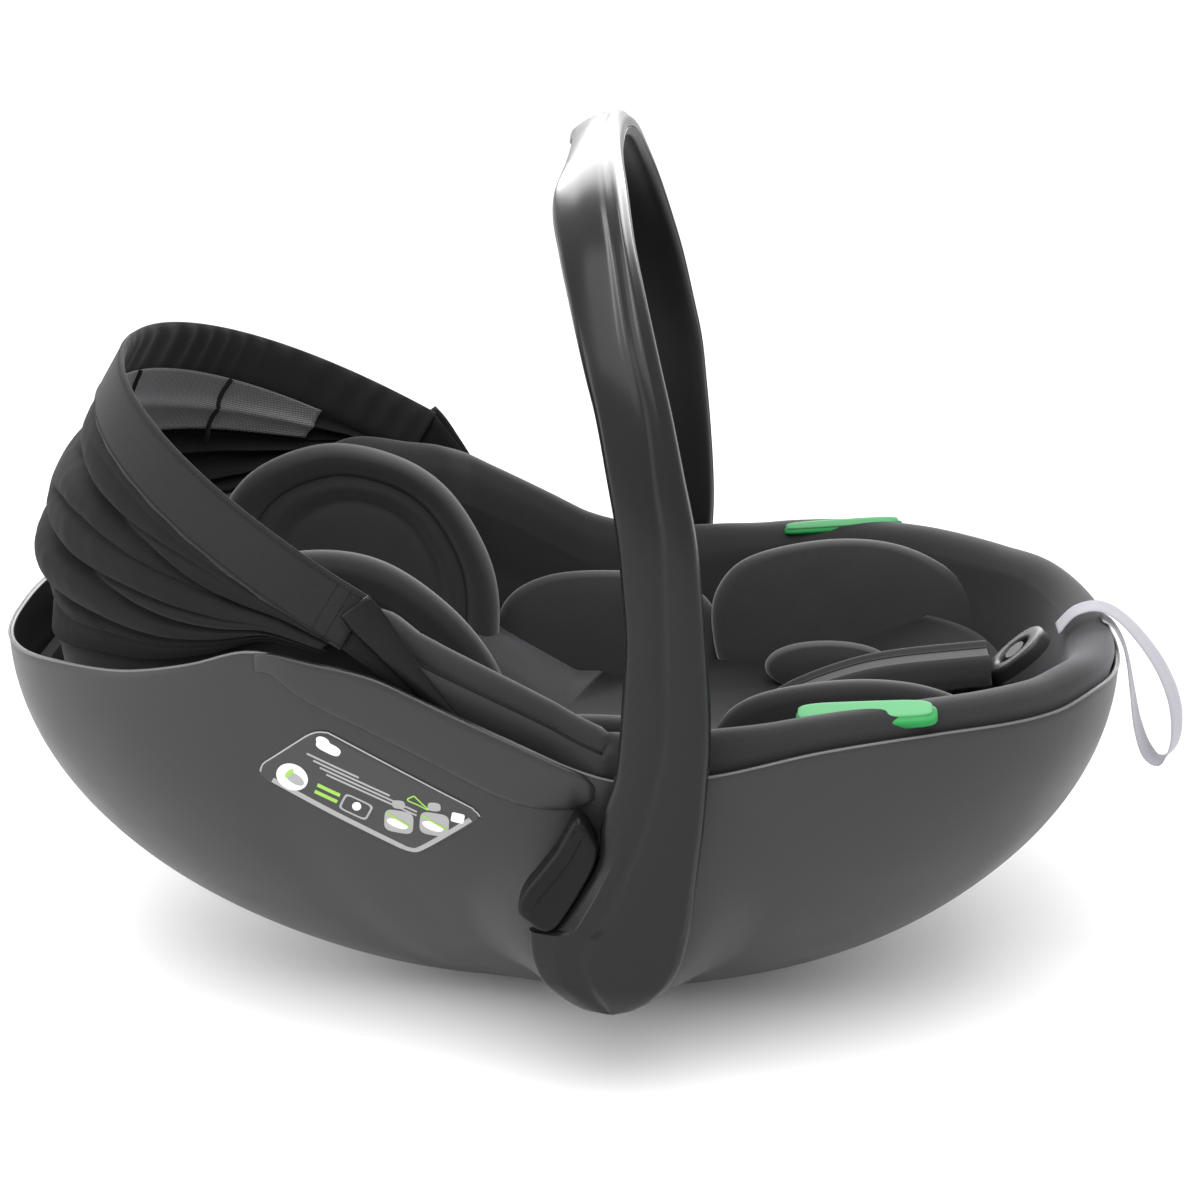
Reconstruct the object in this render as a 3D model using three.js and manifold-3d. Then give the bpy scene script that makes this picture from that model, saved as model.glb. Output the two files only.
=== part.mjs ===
// Infant car seat carrier, in millimetres. +X points to the feet, +Z up, Y = 0 is the plane of symmetry.
// The origin is the centre of the flat patch the shell stands on.
import * as THREE from "three";
import { mergeVertices } from "three/addons/utils/BufferGeometryUtils.js";
import Module from "manifold-3d";

const wasm = await Module();
wasm.setup();

// ---------- sizes ----------
const GAP = 0.3;
const HEAD = 366; // half-length of the rim towards the head
const FOOT = 328; // half-length of the rim towards the feet
const SIDE = 205; // half-width of the rim
const PLAN_POWER = 2.5; // superellipse power of the rim seen from above
const WALL_POWER = 1.8; // power of the hull's section
const SINK = 7; // how far the hull's bottom is cut by the floor
const SHELL_WALL = 3;
const FOAM_OUT = 5.5;
const FOAM_IN = 13.2;
const FOAM_DROP = 35; // foam edge below the rim
const COVER_OUT = 16;
const COVER_IN = 30;
const SEAT_OUT = 32;
const AROUND_COUNT = 44; // segments round the nested bowls
const UP_COUNT = 6; // segments up their walls
// rim height along X
const RIM = [
  [-366, 238], [-340, 244], [-310, 250], [-266, 256], [-225, 267], [-190, 279],
  [-158, 276], [-120, 269], [-80, 252], [-40, 234], [0, 216], [30, 209],
  [75, 213], [139, 226], [204, 231], [278, 229], [305, 231], [328, 226],
];
// rise of the padded roll above the rim, and its inset from the rim
const ROLL_RISE = [
  [-366, 8], [-300, 15], [-220, 24], [-150, 26], [20, 24], [80, 22], [120, 17], [200, 15], [270, 16], [328, 12],
];
const ROLL_INSET = [[-366, 29], [-120, 23], [-100, 14], [-15, 14], [15, 4], [328, 4]];
// seating surface along the centre line
const SEAT_LINE = [
  [-320, 215], [-280, 205], [-220, 170], [-150, 142], [-60, 128], [20, 128], [70, 138],
  [110, 152], [160, 170], [220, 187], [300, 200],
];
// handle
const PIVOT_X = 19;
const PIVOT_Z = 115;
const ARM_Y = 221; // middle of the arm's thickness
const SPRING_Z = 330; // where the arch leaves the straight arms
const ARCH_RISE = 212;
const ARCH_POWER = 2.45;
const ARM_FRONT = [
  [70.6, 28], [72, 31], [75, 37], [79, 43], [90, 53], [102, 59], [114, 62], [131, 65], [159, 68],
  [186, 71], [212, 73], [239, 74.5], [264, 74], [300, 71.5], [330, 68.5], [361, 65], [395, 58],
  [425, 51.5], [450, 45], [483, 36], [507, 29], [530, 23], [542, 18],
];
const ARM_REAR = [
  [70.6, 11], [72, 6], [75, -1], [79, -7], [90, -19], [102, -24.6], [114, -26.8], [123.2, -27],
  [125.2, -12.2], [133, -7], [148, 2], [166, 11], [178, 13], [187, 13.5], [203, 17], [220, 22],
  [240, 24], [265, 25.5], [300, 27], [330, 25], [361, 22], [395, 16], [425, 10], [450, 3],
  [483, -6], [507, -13], [530, -20], [537, -20], [542, -15],
];
const ARM_RIDGE = [
  [70.6, 18], [102, 2], [129, 9], [167, 29], [191, 37], [215, 43], [241, 48], [267, 49], [360, 46],
  [386, 42], [427, 36], [460, 27], [501, 18], [530, 10], [545, 5],
];
// canopy
const CANOPY_X = -60;
const CANOPY_Z = 225;
const BOW_Y = 190;
const BOW_FOOT = [-114, 290];
const BOW_TOP = [-296, 397];
const HEM_HALF = 18.5;
const PANEL_STEP = 4; // radial step between nested canopy panels

// ---------- small helpers ----------
const lerp = (a, b, t) => a + (b - a) * t;

// Smooth curve through [x, y] stations (Catmull-Rom on y).
function curve(stations, x) {
  const n = stations.length;
  if (x <= stations[0][0]) return stations[0][1];
  if (x >= stations[n - 1][0]) return stations[n - 1][1];
  let i = 0;
  while (x > stations[i + 1][0]) i += 1;
  const [x1, y1] = stations[i];
  const [x2, y2] = stations[i + 1];
  const [x0, y0] = stations[Math.max(i - 1, 0)];
  const [x3, y3] = stations[Math.min(i + 2, n - 1)];
  const t = (x - x1) / (x2 - x1);
  const m1 = ((y2 - y0) / (x2 - x0)) * (x2 - x1);
  const m2 = ((y3 - y1) / (x3 - x1)) * (x2 - x1);
  const t2 = t * t;
  const t3 = t2 * t;
  return (2 * t3 - 3 * t2 + 1) * y1 + (t3 - 2 * t2 + t) * m1 + (-2 * t3 + 3 * t2) * y2 + (t3 - t2) * m2;
}

// Straight interpolation through [x, y] stations.
function polyline(stations, x) {
  const n = stations.length;
  if (x <= stations[0][0]) return stations[0][1];
  if (x >= stations[n - 1][0]) return stations[n - 1][1];
  let i = 0;
  while (x > stations[i + 1][0]) i += 1;
  const [x1, y1] = stations[i];
  const [x2, y2] = stations[i + 1];
  return lerp(y1, y2, (x - x1) / (x2 - x1));
}

function geometryOf(vertices, triangles) {
  let volume = 0;
  for (const [a, b, c] of triangles) {
    const [p, q, r] = [vertices[a], vertices[b], vertices[c]];
    volume += p[0] * (q[1] * r[2] - q[2] * r[1]);
    volume += p[1] * (q[2] * r[0] - q[0] * r[2]);
    volume += p[2] * (q[0] * r[1] - q[1] * r[0]);
  }
  const index = triangles.flatMap(([a, b, c]) => (volume < 0 ? [a, c, b] : [a, b, c]));
  const geometry = new THREE.BufferGeometry();
  geometry.setAttribute("position", new THREE.Float32BufferAttribute(vertices.flat(), 3));
  geometry.setIndex(index);
  return geometry;
}

// Solid from closed rings of equal length, capped at both ends.
function ringSolid(rings) {
  const n = rings[0].length;
  const vertices = rings.flat();
  const triangles = [];
  for (let r = 0; r + 1 < rings.length; r += 1) {
    for (let i = 0; i < n; i += 1) {
      const j = (i + 1) % n;
      const a = r * n + i;
      const b = r * n + j;
      triangles.push([a, b, b + n], [a, b + n, a + n]);
    }
  }
  const capAt = (start, flip) => {
    const ring = vertices.slice(start, start + n);
    const middle = [0, 1, 2].map((k) => ring.reduce((sum, p) => sum + p[k], 0) / n);
    const m = vertices.push(middle) - 1;
    for (let i = 0; i < n; i += 1) {
      const j = (i + 1) % n;
      triangles.push(flip ? [start + j, start + i, m] : [start + i, start + j, m]);
    }
  };
  capAt(0, true);
  capAt((rings.length - 1) * n, false);
  return geometryOf(vertices, triangles);
}

// Solid between two grids of points with the same rows and columns.
function slab(outer, inner) {
  const rows = outer.length;
  const columns = outer[0].length;
  const rings = [];
  for (let r = 0; r < rows; r += 1) {
    rings.push([...outer[r], ...[...inner[r]].reverse()]);
  }
  const vertices = rings.flat();
  const n = 2 * columns;
  const triangles = [];
  for (let r = 0; r + 1 < rows; r += 1) {
    for (let i = 0; i < n; i += 1) {
      const j = (i + 1) % n;
      const a = r * n + i;
      const b = r * n + j;
      triangles.push([a, b, b + n], [a, b + n, a + n]);
    }
  }
  for (let i = 0; i + 1 < columns; i += 1) {
    const k = n - 1 - i;
    triangles.push([i, k, k - 1], [i, k - 1, i + 1]);
    const e = (rows - 1) * n;
    triangles.push([e + i, e + k - 1, e + k], [e + i, e + i + 1, e + k - 1]);
  }
  return geometryOf(vertices, triangles);
}

function solidOf(geometry) {
  const bare = geometry.clone();
  bare.deleteAttribute("normal");
  bare.deleteAttribute("uv");
  const merged = mergeVertices(bare, 1e-4);
  return new wasm.Manifold(new wasm.Mesh({
    numProp: 3,
    vertProperties: new Float32Array(merged.attributes.position.array),
    triVerts: new Uint32Array(merged.index.array),
  }));
}

function geometryFrom(solid) {
  const mesh = solid.getMesh();
  const points = new Float32Array(mesh.numVert * 3);
  for (let i = 0; i < mesh.numVert; i += 1) {
    points.set(mesh.vertProperties.subarray(i * mesh.numProp, i * mesh.numProp + 3), i * 3);
  }
  const geometry = new THREE.BufferGeometry();
  geometry.setAttribute("position", new THREE.BufferAttribute(points, 3));
  geometry.setIndex(new THREE.BufferAttribute(new Uint32Array(mesh.triVerts), 1));
  return geometry;
}

// The largest body of a solid, without slivers a cut may leave.
function largest(solid) {
  const bodies = solid.decompose();
  return bodies.reduce((a, b) => (b.volume() > a.volume() ? b : a));
}

// ---------- hull ----------
function rimPoint(angle, inset) {
  const c = Math.cos(angle);
  const s = Math.sin(angle);
  const a = (c < 0 ? HEAD : FOOT) - inset;
  const b = SIDE - inset;
  const e = 2 / PLAN_POWER;
  return [a * Math.sign(c) * Math.abs(c) ** e, b * Math.sign(s) * Math.abs(s) ** e];
}

const rimTop = (angle) => curve(RIM, rimPoint(angle, 0)[0]);

// Point of the nested hull surface at this inset and height.
function hullAt(angle, inset, z) {
  const [x, y] = rimPoint(angle, inset);
  const base = inset - SINK;
  const w = 1 - (z - base) / (rimTop(angle) - base);
  const s = Math.max(0, 1 - w * w) ** (1 / WALL_POWER);
  return [x * s, y * s, z];
}

// Ring of the nested hull: fraction 0 is the flat bottom, 1 is `drop` below the rim.
function hullRing(inset, fraction, drop, count) {
  const ring = [];
  for (let i = 0; i < count; i += 1) {
    const angle = (2 * Math.PI * i) / count;
    const top = rimTop(angle);
    const base = inset - SINK;
    const span = top - base;
    const first = Math.acos(1 - SINK / span);
    const last = Math.acos(1 - (top - drop - base) / span);
    const phi = lerp(first, last, fraction);
    ring.push(hullAt(angle, inset, base + span * (1 - Math.cos(phi))));
  }
  return ring;
}

const hullRings = (inset, drop, steps, count) =>
  Array.from({ length: steps + 1 }, (_, k) => hullRing(inset, k / steps, drop, count));

// Hull angle whose surface passes through x at height z, on the +Y side.
function angleAt(x, z, inset) {
  let low = 0.001;
  let high = Math.PI - 0.001;
  for (let i = 0; i < 40; i += 1) {
    const middle = (low + high) / 2;
    if (hullAt(middle, inset, z)[0] > x) low = middle;
    else high = middle;
  }
  return (low + high) / 2;
}

// Point on the hull's side at (x, z), pushed out by `lift`; side is -1 or +1.
function sidePoint(x, z, lift, side) {
  const [px, py, pz] = hullAt(angleAt(x, z, 0), 0, z);
  return [px, side * (py + lift), pz];
}

// ---------- primitives ----------
// Rounded cushion: superellipsoid with half-sizes, powers, and a turn about Z, Y and X in degrees.
function cushion(centre, half, power = 2.4, turn = [0, 0, 0], segments = 14, rows = 6) {
  const e = 2 / power;
  const fold = (v) => Math.sign(v) * Math.abs(v) ** e;
  const euler = new THREE.Euler(...turn.map((d) => (d * Math.PI) / 180), "XYZ");
  const rings = [];
  for (let r = 0; r <= rows; r += 1) {
    const lat = lerp(-0.47 * Math.PI, 0.47 * Math.PI, r / rows);
    const ring = [];
    for (let i = 0; i < segments; i += 1) {
      const lon = (2 * Math.PI * i) / segments;
      const p = new THREE.Vector3(
        half[0] * fold(Math.cos(lat)) * fold(Math.cos(lon)),
        half[1] * fold(Math.cos(lat)) * fold(Math.sin(lon)),
        half[2] * fold(Math.sin(lat)),
      );
      p.applyEuler(euler).add(new THREE.Vector3(...centre));
      ring.push([p.x, p.y, p.z]);
    }
    rings.push(ring);
  }
  return ringSolid(rings);
}

// Flat band along points in 3-D, `width` along the given across vector, `thick` along its normal.
function band(points, across, width, thick) {
  const rings = points.map((p, i) => {
    const before = new THREE.Vector3(...points[Math.max(i - 1, 0)]);
    const after = new THREE.Vector3(...points[Math.min(i + 1, points.length - 1)]);
    const along = after.sub(before).normalize();
    const side = typeof across === "function" ? across(i) : across;
    const a = new THREE.Vector3(...side);
    a.addScaledVector(along, -a.dot(along)).normalize();
    const n = new THREE.Vector3().crossVectors(along, a);
    const corner = (u, v) => {
      const q = new THREE.Vector3(...p).addScaledVector(a, (u * width) / 2);
      q.addScaledVector(n, (v * thick) / 2);
      return [q.x, q.y, q.z];
    };
    return [corner(-1, -1), corner(1, -1), corner(1, 1), corner(-1, 1)];
  });
  return ringSolid(rings);
}

// Smooth open path through control points, sampled evenly.
function smooth(points, count) {
  const path = new THREE.CatmullRomCurve3(points.map((p) => new THREE.Vector3(...p)), false, "centripetal");
  return path.getPoints(count).map((p) => [p.x, p.y, p.z]);
}

// Cylinder along Y between two signed Y values.
function rodY(x, z, radius, y0, y1, segments = 20) {
  const rings = [y0, y1].map((y) => Array.from({ length: segments }, (_, i) => {
    const angle = (2 * Math.PI * i) / segments;
    return [x + radius * Math.cos(angle), y, z + radius * Math.sin(angle)];
  }));
  return ringSolid(rings);
}

function boxSolid(x0, x1, y0, y1, z0, z1) {
  const geometry = new THREE.BoxGeometry(x1 - x0, y1 - y0, z1 - z0);
  geometry.translate((x0 + x1) / 2, (y0 + y1) / 2, (z0 + z1) / 2);
  return solidOf(geometry);
}

// Prism of an outline in (x, z) between two Y values; the far end may be inset for a bevel.
function plateY(outline, y0, y1, bevel) {
  const centre = outline.reduce((sum, p) => [sum[0] + p[0], sum[1] + p[1]], [0, 0]);
  const middle = centre.map((v) => v / outline.length);
  const at = (y, shrink) => outline.map(([x, z]) => {
    const dx = x - middle[0];
    const dz = z - middle[1];
    const k = 1 - shrink / Math.hypot(dx, dz);
    return [middle[0] + dx * k, y, middle[1] + dz * k];
  });
  const step = Math.sign(y1 - y0) * bevel;
  return ringSolid([at(y0, 0), at(y1 - step, 0), at(y1 - 0.3 * step, 0.35 * bevel), at(y1, bevel)]);
}

const group = new THREE.Group();
function add(name, geometry, color, roughness, metalness = 0) {
  const material = new THREE.MeshStandardMaterial({ color, roughness, metalness });
  const mesh = new THREE.Mesh(geometry, material);
  mesh.name = name;
  group.add(mesh);
}

const SHELL_COLOR = 0x3a3939;
const HANDLE_COLOR = 0x1c1c1d;
const FABRIC = 0x1d1d1f;
const PAD_FABRIC = 0x2a2a2c;
const WEB = 0x202022;
const sides = [["left", 1], ["right", -1]];

// ---------- outer shell ----------
const BOSS_TOP = 206;
const AXLE_R = 12;
const BORE_R = AXLE_R + GAP;
const AXLE_IN = 198;
{
  const outer = hullRings(0, 0, UP_COUNT, AROUND_COUNT);
  const inner = hullRings(SHELL_WALL, 0, UP_COUNT, AROUND_COUNT).reverse();
  let shell = solidOf(ringSolid([...outer, ...inner]));
  const core = solidOf(ringSolid(hullRings(1.5, 0.5, UP_COUNT, AROUND_COUNT)));
  for (const [, side] of sides) {
    const cone = [[58, 150], [50, 190], [42, 202], [38, BOSS_TOP]].map(([radius, y]) =>
      Array.from({ length: 20 }, (_, i) => {
        const angle = (2 * Math.PI * i) / 20;
        return [PIVOT_X + radius * Math.cos(angle), side * y, PIVOT_Z + radius * Math.sin(angle)];
      }));
    const boss = solidOf(ringSolid(cone)).subtract(core);
    const bore = solidOf(rodY(PIVOT_X, PIVOT_Z, BORE_R, side * (AXLE_IN - GAP), side * 215));
    shell = shell.add(largest(boss)).subtract(bore);
  }
  add("outer_shell", geometryFrom(largest(shell)), SHELL_COLOR, 0.45);
}

// ---------- raised guards along the rim ----------
const GUARD_LOW = [
  [-176, 267], [-158, 253], [-123, 236], [-84, 217], [-52, 200], [-26, 191.5], [-8, 191], [4, 193],
];
for (const [name, side] of sides) {
  const columns = 16;
  const rows = 4;
  const grid = (lifts) => Array.from({ length: columns + 1 }, (_, c) => {
    const f = c / columns;
    const x = lerp(-186, 9, f);
    const angle = angleAt(x, 200, 0);
    const top = curve(RIM, rimPoint(angle, 0)[0]) - 0.2 - 6 * Math.max(0, (x + 3) / 12) ** 2;
    const low = Math.min(top - 1.5, polyline(GUARD_LOW, x) + 5 * Math.max(0, (x + 2) / 11) ** 2);
    const ends = Math.min(1, 8 * f, 10 * (1 - f));
    return Array.from({ length: rows + 1 }, (_, r) => {
      const z = lerp(low, top, [0, 0.12, 0.4, 0.75, 1][r]);
      return sidePoint(x, z, GAP + lifts[r] * (0.25 + 0.75 * ends), side);
    });
  });
  const guard = slab(grid([0.5, 3.2, 3.4, 3.4, 3.0]), grid([0, 0, 0, 0, 0]));
  add("side_guard_" + name, guard, SHELL_COLOR, 0.45);
}

// ---------- foam liner ----------
{
  const outer = hullRings(FOAM_OUT, FOAM_DROP, UP_COUNT, AROUND_COUNT);
  const inner = hullRings(FOAM_IN, FOAM_DROP, UP_COUNT, AROUND_COUNT).reverse();
  add("foam_liner", ringSolid([...outer, ...inner]), 0x8c8c8c, 0.9);
}

// ---------- seat cover: fabric bucket with a padded roll over the rim ----------
const seatHeight = (x) => curve(SEAT_LINE, x);
const edgeHeight = (x) => Math.max(seatHeight(x) + 8, curve(RIM, x) - 60);
{
  const rollRing = (spread, rise, below) => Array.from({ length: AROUND_COUNT }, (_, i) => {
    const angle = (2 * Math.PI * i) / AROUND_COUNT;
    const x = rimPoint(angle, 0)[0];
    const inset = polyline(ROLL_INSET, x) + spread;
    if (below > 0) return hullAt(angle, inset, rimTop(angle) - below);
    const [px, py] = rimPoint(angle, inset);
    return [px, py, rimTop(angle) + rise * curve(ROLL_RISE, x)];
  });
  const low = hullRings(COVER_OUT, 34, UP_COUNT, AROUND_COUNT);
  const roll = [
    rollRing(1.4, 0, 33), rollRing(1.2, 0, 7), rollRing(-1, 0.3, 0), rollRing(1, 0.75, 0),
    rollRing(6, 0.98, 0), rollRing(11.5, 1, 0), rollRing(19, 0.78, 0), rollRing(26.5, 0, 8),
  ];
  const high = hullRings(COVER_IN, 40, UP_COUNT, AROUND_COUNT).reverse();
  add("seat_cover", ringSolid([...low, ...roll, ...high]), FABRIC, 0.85);
}

// ---------- seat insert: the padded lying surface ----------
function insertTop(x, y) {
  const halfWidth = 165 * Math.max(0.02, 1 - Math.abs(x / 330) ** 3) ** 0.5;
  return seatHeight(x) + 26 * Math.min(1.1, Math.abs(y) / halfWidth) ** 2.4;
}
{
  const low = hullRings(SEAT_OUT, 75, 5, AROUND_COUNT);
  const rim = low[5];
  const top = [1, 0.95, 0.8, 0.6, 0.38, 0.15].map((s, k) => rim.map(([x, y, z]) => {
    const [px, py] = [x * s, y * s];
    const height = Math.max(insertTop(px, py), 40);
    return [px, py, k === 0 ? Math.max(z + 1, Math.min(height, z + 12)) : height];
  }));
  add("seat_insert", ringSolid([...low, ...top]), PAD_FABRIC, 0.9);
}

// A solid thickened by shifting it a little along the given directions.
function swollen(solid, shifts) {
  return shifts.reduce((sum, shift) => sum.add(solid.translate(shift)), solid);
}
const solidNamed = (name) => solidOf(group.getObjectByName(name).geometry);
const CLEAR = 0.5;
const AROUND = [[CLEAR, 0, 0], [-CLEAR, 0, 0], [0, CLEAR, 0], [0, -CLEAR, 0]];
const keepOut = swollen(solidNamed("seat_cover"), AROUND).add(swollen(solidNamed("seat_insert"), [[0, 0, CLEAR]]));

// A cushion resting on the insert and against the cover, cut back with a small clearance from both
// and from the named cushions placed before it.
function rest(name, solids, neighbours = []) {
  let solid = solids.map(solidOf).reduce((x, y) => x.add(y)).subtract(keepOut);
  for (const other of neighbours) solid = solid.subtract(swollen(solidNamed(other), AROUND));
  add(name, geometryFrom(largest(largest(solid).simplify(0.05))), PAD_FABRIC, 0.9);
}

// ---------- cushions ----------
rest("head_hugger", [
  cushion([-158, 112, 232], [104, 22, 88], 2.3, [-9, 0, 0], 14, 6),
  cushion([-158, -112, 232], [104, 22, 88], 2.3, [9, 0, 0], 14, 6),
  cushion([-244, 0, 228], [24, 112, 42], 2.6, [0, 0, 0], 14, 6),
]);
rest("head_pillow", [cushion([-160, 0, 182], [62, 74, 26], 2.5, [0, 0, 0])], ["head_hugger"]);
for (const [name, side] of sides) {
  const shape = cushion([4, side * 124, 178], [74, 20, 46], 2.5, [-side * 14, 0, 0]);
  rest("side_bolster_" + name, [shape], ["head_hugger"]);
}
for (const [name, side] of sides) {
  const shape = cushion([166, side * 120, 196], [92, 19, 54], 2.5, [-side * 16, 0, 0]);
  rest("leg_pad_" + name, [shape], ["side_bolster_" + name]);
}
for (const [name, side] of sides) {
  const shape = cushion([152, side * 60, 180], [42, 15, 17], 2.2, [-side * 8, 0, 0], 12, 6);
  rest("thigh_pad_" + name, [shape], ["leg_pad_" + name]);
}

// ---------- harness ----------
const above = (x, y, lift) => [x, y, insertTop(x, y) + lift];
const BUCKLE_X = 78;
const buckleZ = insertTop(BUCKLE_X, 0) + 17;
for (const [name, side] of sides) {
  const path = smooth([
    above(-92, side * 34, 7), above(-50, side * 33, 9), above(0, side * 26, 9), above(44, side * 17, 10),
  ], 10);
  add("shoulder_strap_" + name, band(path, [0, 1, 0], 22, 1.6), WEB, 0.8);
}
for (const [name, side] of sides) {
  const path = smooth([
    above(-76, side * 33.8, 14.5), above(-50, side * 32.6, 15.5), above(-20, side * 29, 15.5),
    above(8, side * 25, 15.5),
  ], 6);
  add("shoulder_pad_" + name, band(path, [0, 1, 0], 34, 8), PAD_FABRIC, 0.9);
}
for (const [name, side] of sides) {
  const path = smooth([
    above(30, side * 96, 7), above(44, side * 78, 7), above(58, side * 52, 8), above(68, side * 31, 11),
  ], 8);
  add("hip_strap_" + name, band(path, [1, 0, 0], 22, 1.6), WEB, 0.8);
}
for (const [name, side] of sides) {
  const tongue = plateY([[0, -7], [0, 7], [12, 8], [22, 3], [22, -3], [12, -8]], 0, 5, 0.8);
  tongue.rotateX(-Math.PI / 2);
  tongue.rotateZ(side > 0 ? Math.PI * 0.72 : -Math.PI * 0.72);
  tongue.translate(BUCKLE_X - 22, side * 12.5, buckleZ + 3);
  add("buckle_tongue_" + name, tongue, 0x17171a, 0.4);
}
{
  const body = solidOf(cushion([BUCKLE_X, 0, buckleZ + 1], [21, 18, 8.5], 3.4, [0, 0, 0], 16, 6));
  const well = solidOf(rodY(0, 0, 8.8, -20, 20).rotateX(Math.PI / 2).translate(BUCKLE_X + 3, 0, buckleZ + 24.5));
  add("buckle_body", geometryFrom(largest(body.subtract(well))), 0x161618, 0.45);
  const button = rodY(0, 0, 8.3, -2.2, 2.2, 20).rotateX(Math.PI / 2);
  add("buckle_button", button.translate(BUCKLE_X + 3, 0, buckleZ + 8.9), 0xb3202a, 0.5);
  const crotch = smooth([above(112, 0, 2.2), above(106, 0, 4.4), above(BUCKLE_X + 22.5, 0, 8.5)], 5);
  add("crotch_strap", band(crotch, [0, 1, 0], 22, 1.8), 0xcfcfd6, 0.7);
}

// ---------- harness adjuster at the front ----------
{
  const path = smooth([[112, 0, 163], [131, 0, 177], [163, 0, 191], [194, 0, 199], [246, 0, 203]], 10);
  rest("channel_cover", [band(path, [0, 1, 0], 38, 19)]);
}
{
  const tilt = Math.atan2(40, 44);
  const outline = [];
  for (let i = 0; i < 18; i += 1) {
    const angle = (2 * Math.PI * i) / 18;
    outline.push([24 * Math.cos(angle) * (1 - 0.16 * Math.cos(angle)), 17 * Math.sin(angle)]);
  }
  const oval = Array.from({ length: 14 }, (_, i) => {
    const angle = (2 * Math.PI * i) / 14;
    return [-3 + 11.5 * Math.cos(angle), 8.5 * Math.sin(angle)];
  });
  const stand = (geometry) => geometry.rotateX(-Math.PI / 2).rotateY(-tilt).translate(272, 0, 213);
  const body = solidOf(stand(plateY(outline, 1.6, -8, 2)));
  const hole = solidOf(stand(plateY(oval, -12, -2, 0.5)));
  add("adjuster_bezel", geometryFrom(largest(body.subtract(hole))), 0x333335, 0.5);
}
{
  const button = rodY(0, 0, 7.2, -1.6, 1.6, 18).rotateX(Math.PI / 2);
  button.translate(-2, 0, 5.6).rotateY(-Math.atan2(40, 44)).translate(272, 0, 213);
  add("adjuster_button", button, 0x2a2a2c, 0.5);
}
{
  const path = smooth([
    [294.5, 0, 233], [302, 0, 243], [316, 0, 246.5], [329, 0, 240], [342, 0, 228], [357, 0, 210],
    [368, 0, 190], [372.5, 0, 170], [369, 0, 152], [361.5, 0, 144], [352, 0, 150], [344.5, 0, 168],
    [340, 0, 190], [337.5, 0, 208], [333.5, 0, 222], [327, 0, 232.5],
  ], 44);
  add("pull_strap", band(path, [0, 1, 0], 20, 1.4), 0xc9c6d2, 0.6);
}

// ---------- belt guides ----------
for (const [name, side] of sides) {
  const place = (half) => cushion([164, side * 174, 240.5], half, 4, [-side * 28, -6.5, 0], 16, 6);
  add("belt_guide_" + name, place([39.5, 7, 4.6]), 0x6fe08a, 0.5);
  const cover = group.getObjectByName("seat_cover");
  const cut = solidOf(cover.geometry).subtract(solidOf(place([40.1, 7.6, 5.2])));
  cover.geometry = geometryFrom(largest(cut));
}
{
  const half = 34;
  const grid = (lifts) => Array.from({ length: 9 }, (_, c) => {
    const y = lerp(-half, half, c / 8);
    return Array.from({ length: 5 }, (_, r) => {
      const z = lerp(143, 176, r / 4);
      let low = Math.PI / 2;
      let high = Math.PI;
      for (let i = 0; i < 40; i += 1) {
        const middle = (low + high) / 2;
        if (hullAt(middle, 0, z)[1] > Math.abs(y)) low = middle;
        else high = middle;
      }
      const x = hullAt(low, 0, z)[0];
      const lift = lifts[Math.min(r, 4 - r, c, 8 - c)];
      return [x - lift * 0.8, y, z - lift * 0.6];
    });
  });
  add("rear_belt_guide", slab(grid([1.8, 5, 5.6, 5.6, 5.6]), grid([0.5, 0.5, 0.5, 0.5, 0.5])), 0x35c768, 0.5);
}

// ---------- plain label on the near side ----------
const LABEL_TOP = [[-187, 203], [-184, 208], [-152, 233], [-144, 233], [-62, 190], [-57, 185]];
const LABEL_LOW = [[-187, 201], [-184, 197], [-103, 154], [-98, 152], [-94, 153], [-61, 178], [-57, 183]];
{
  const columns = 12;
  const grid = (lift) => Array.from({ length: columns + 1 }, (_, c) => {
    const x = lerp(-187, -57, c / columns);
    const [low, high] = [polyline(LABEL_LOW, x), polyline(LABEL_TOP, x)];
    return Array.from({ length: 6 }, (_, r) => sidePoint(x, lerp(low, high, r / 5), lift, -1));
  });
  add("side_label", slab(grid(1.0), grid(0.4)), 0x303031, 0.5);
}

// ---------- handle ----------
const OUTER_SECTION = [
  [0.015, -2.8], [0, 0.4], [0.04, 3.2], [0.16, 5.8], ["ridge", -0.05, 8.6], ["ridge", 0.05, 8.9],
  [0.86, 6.4], [0.965, 3.4], [1, 0.4], [0.985, -2.8],
];
const INNER_SECTION = [
  [0.985, -3.1], [0.99, -5], [0.93, -8.4], [0.75, -9.4], [0.5, -8], [0.25, -9.4], [0.07, -8.4],
  [0.01, -5], [0.015, -3.1],
];
const STATIONS_Z = [
  70.6, 72, 75, 79, 90, 105, 123.2, 125.2, 148, 166, 187, 212, 250, 290, SPRING_Z,
];
function handleStations() {
  const arm = STATIONS_Z.map((z) => ({ y: ARM_Y, z, ny: 1, nz: 0, size: 1 }));
  for (const [i, k] of [0.35, 0.6, 0.8, 0.92].entries()) arm[i].size = k;
  const arch = [];
  const steps = 9;
  for (let i = 1; i <= steps; i += 1) {
    const angle = ((Math.PI / 2) * i) / steps;
    const e = 2 / ARCH_POWER;
    const [c, s] = [Math.max(0, Math.cos(angle)) ** e, Math.sin(angle) ** e];
    const n = [c ** (ARCH_POWER - 1) / ARM_Y, s ** (ARCH_POWER - 1) / ARCH_RISE];
    const length = Math.hypot(...n);
    arch.push({
      y: ARM_Y * c, z: SPRING_Z + ARCH_RISE * s, ny: n[0] / length, nz: n[1] / length, size: lerp(1, 0.86, s),
    });
  }
  const half = [...arm, ...arch];
  const mirror = half.slice(0, -1).reverse().map((q) => ({ ...q, y: -q.y, ny: -q.ny }));
  return [...half, ...mirror];
}
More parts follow.
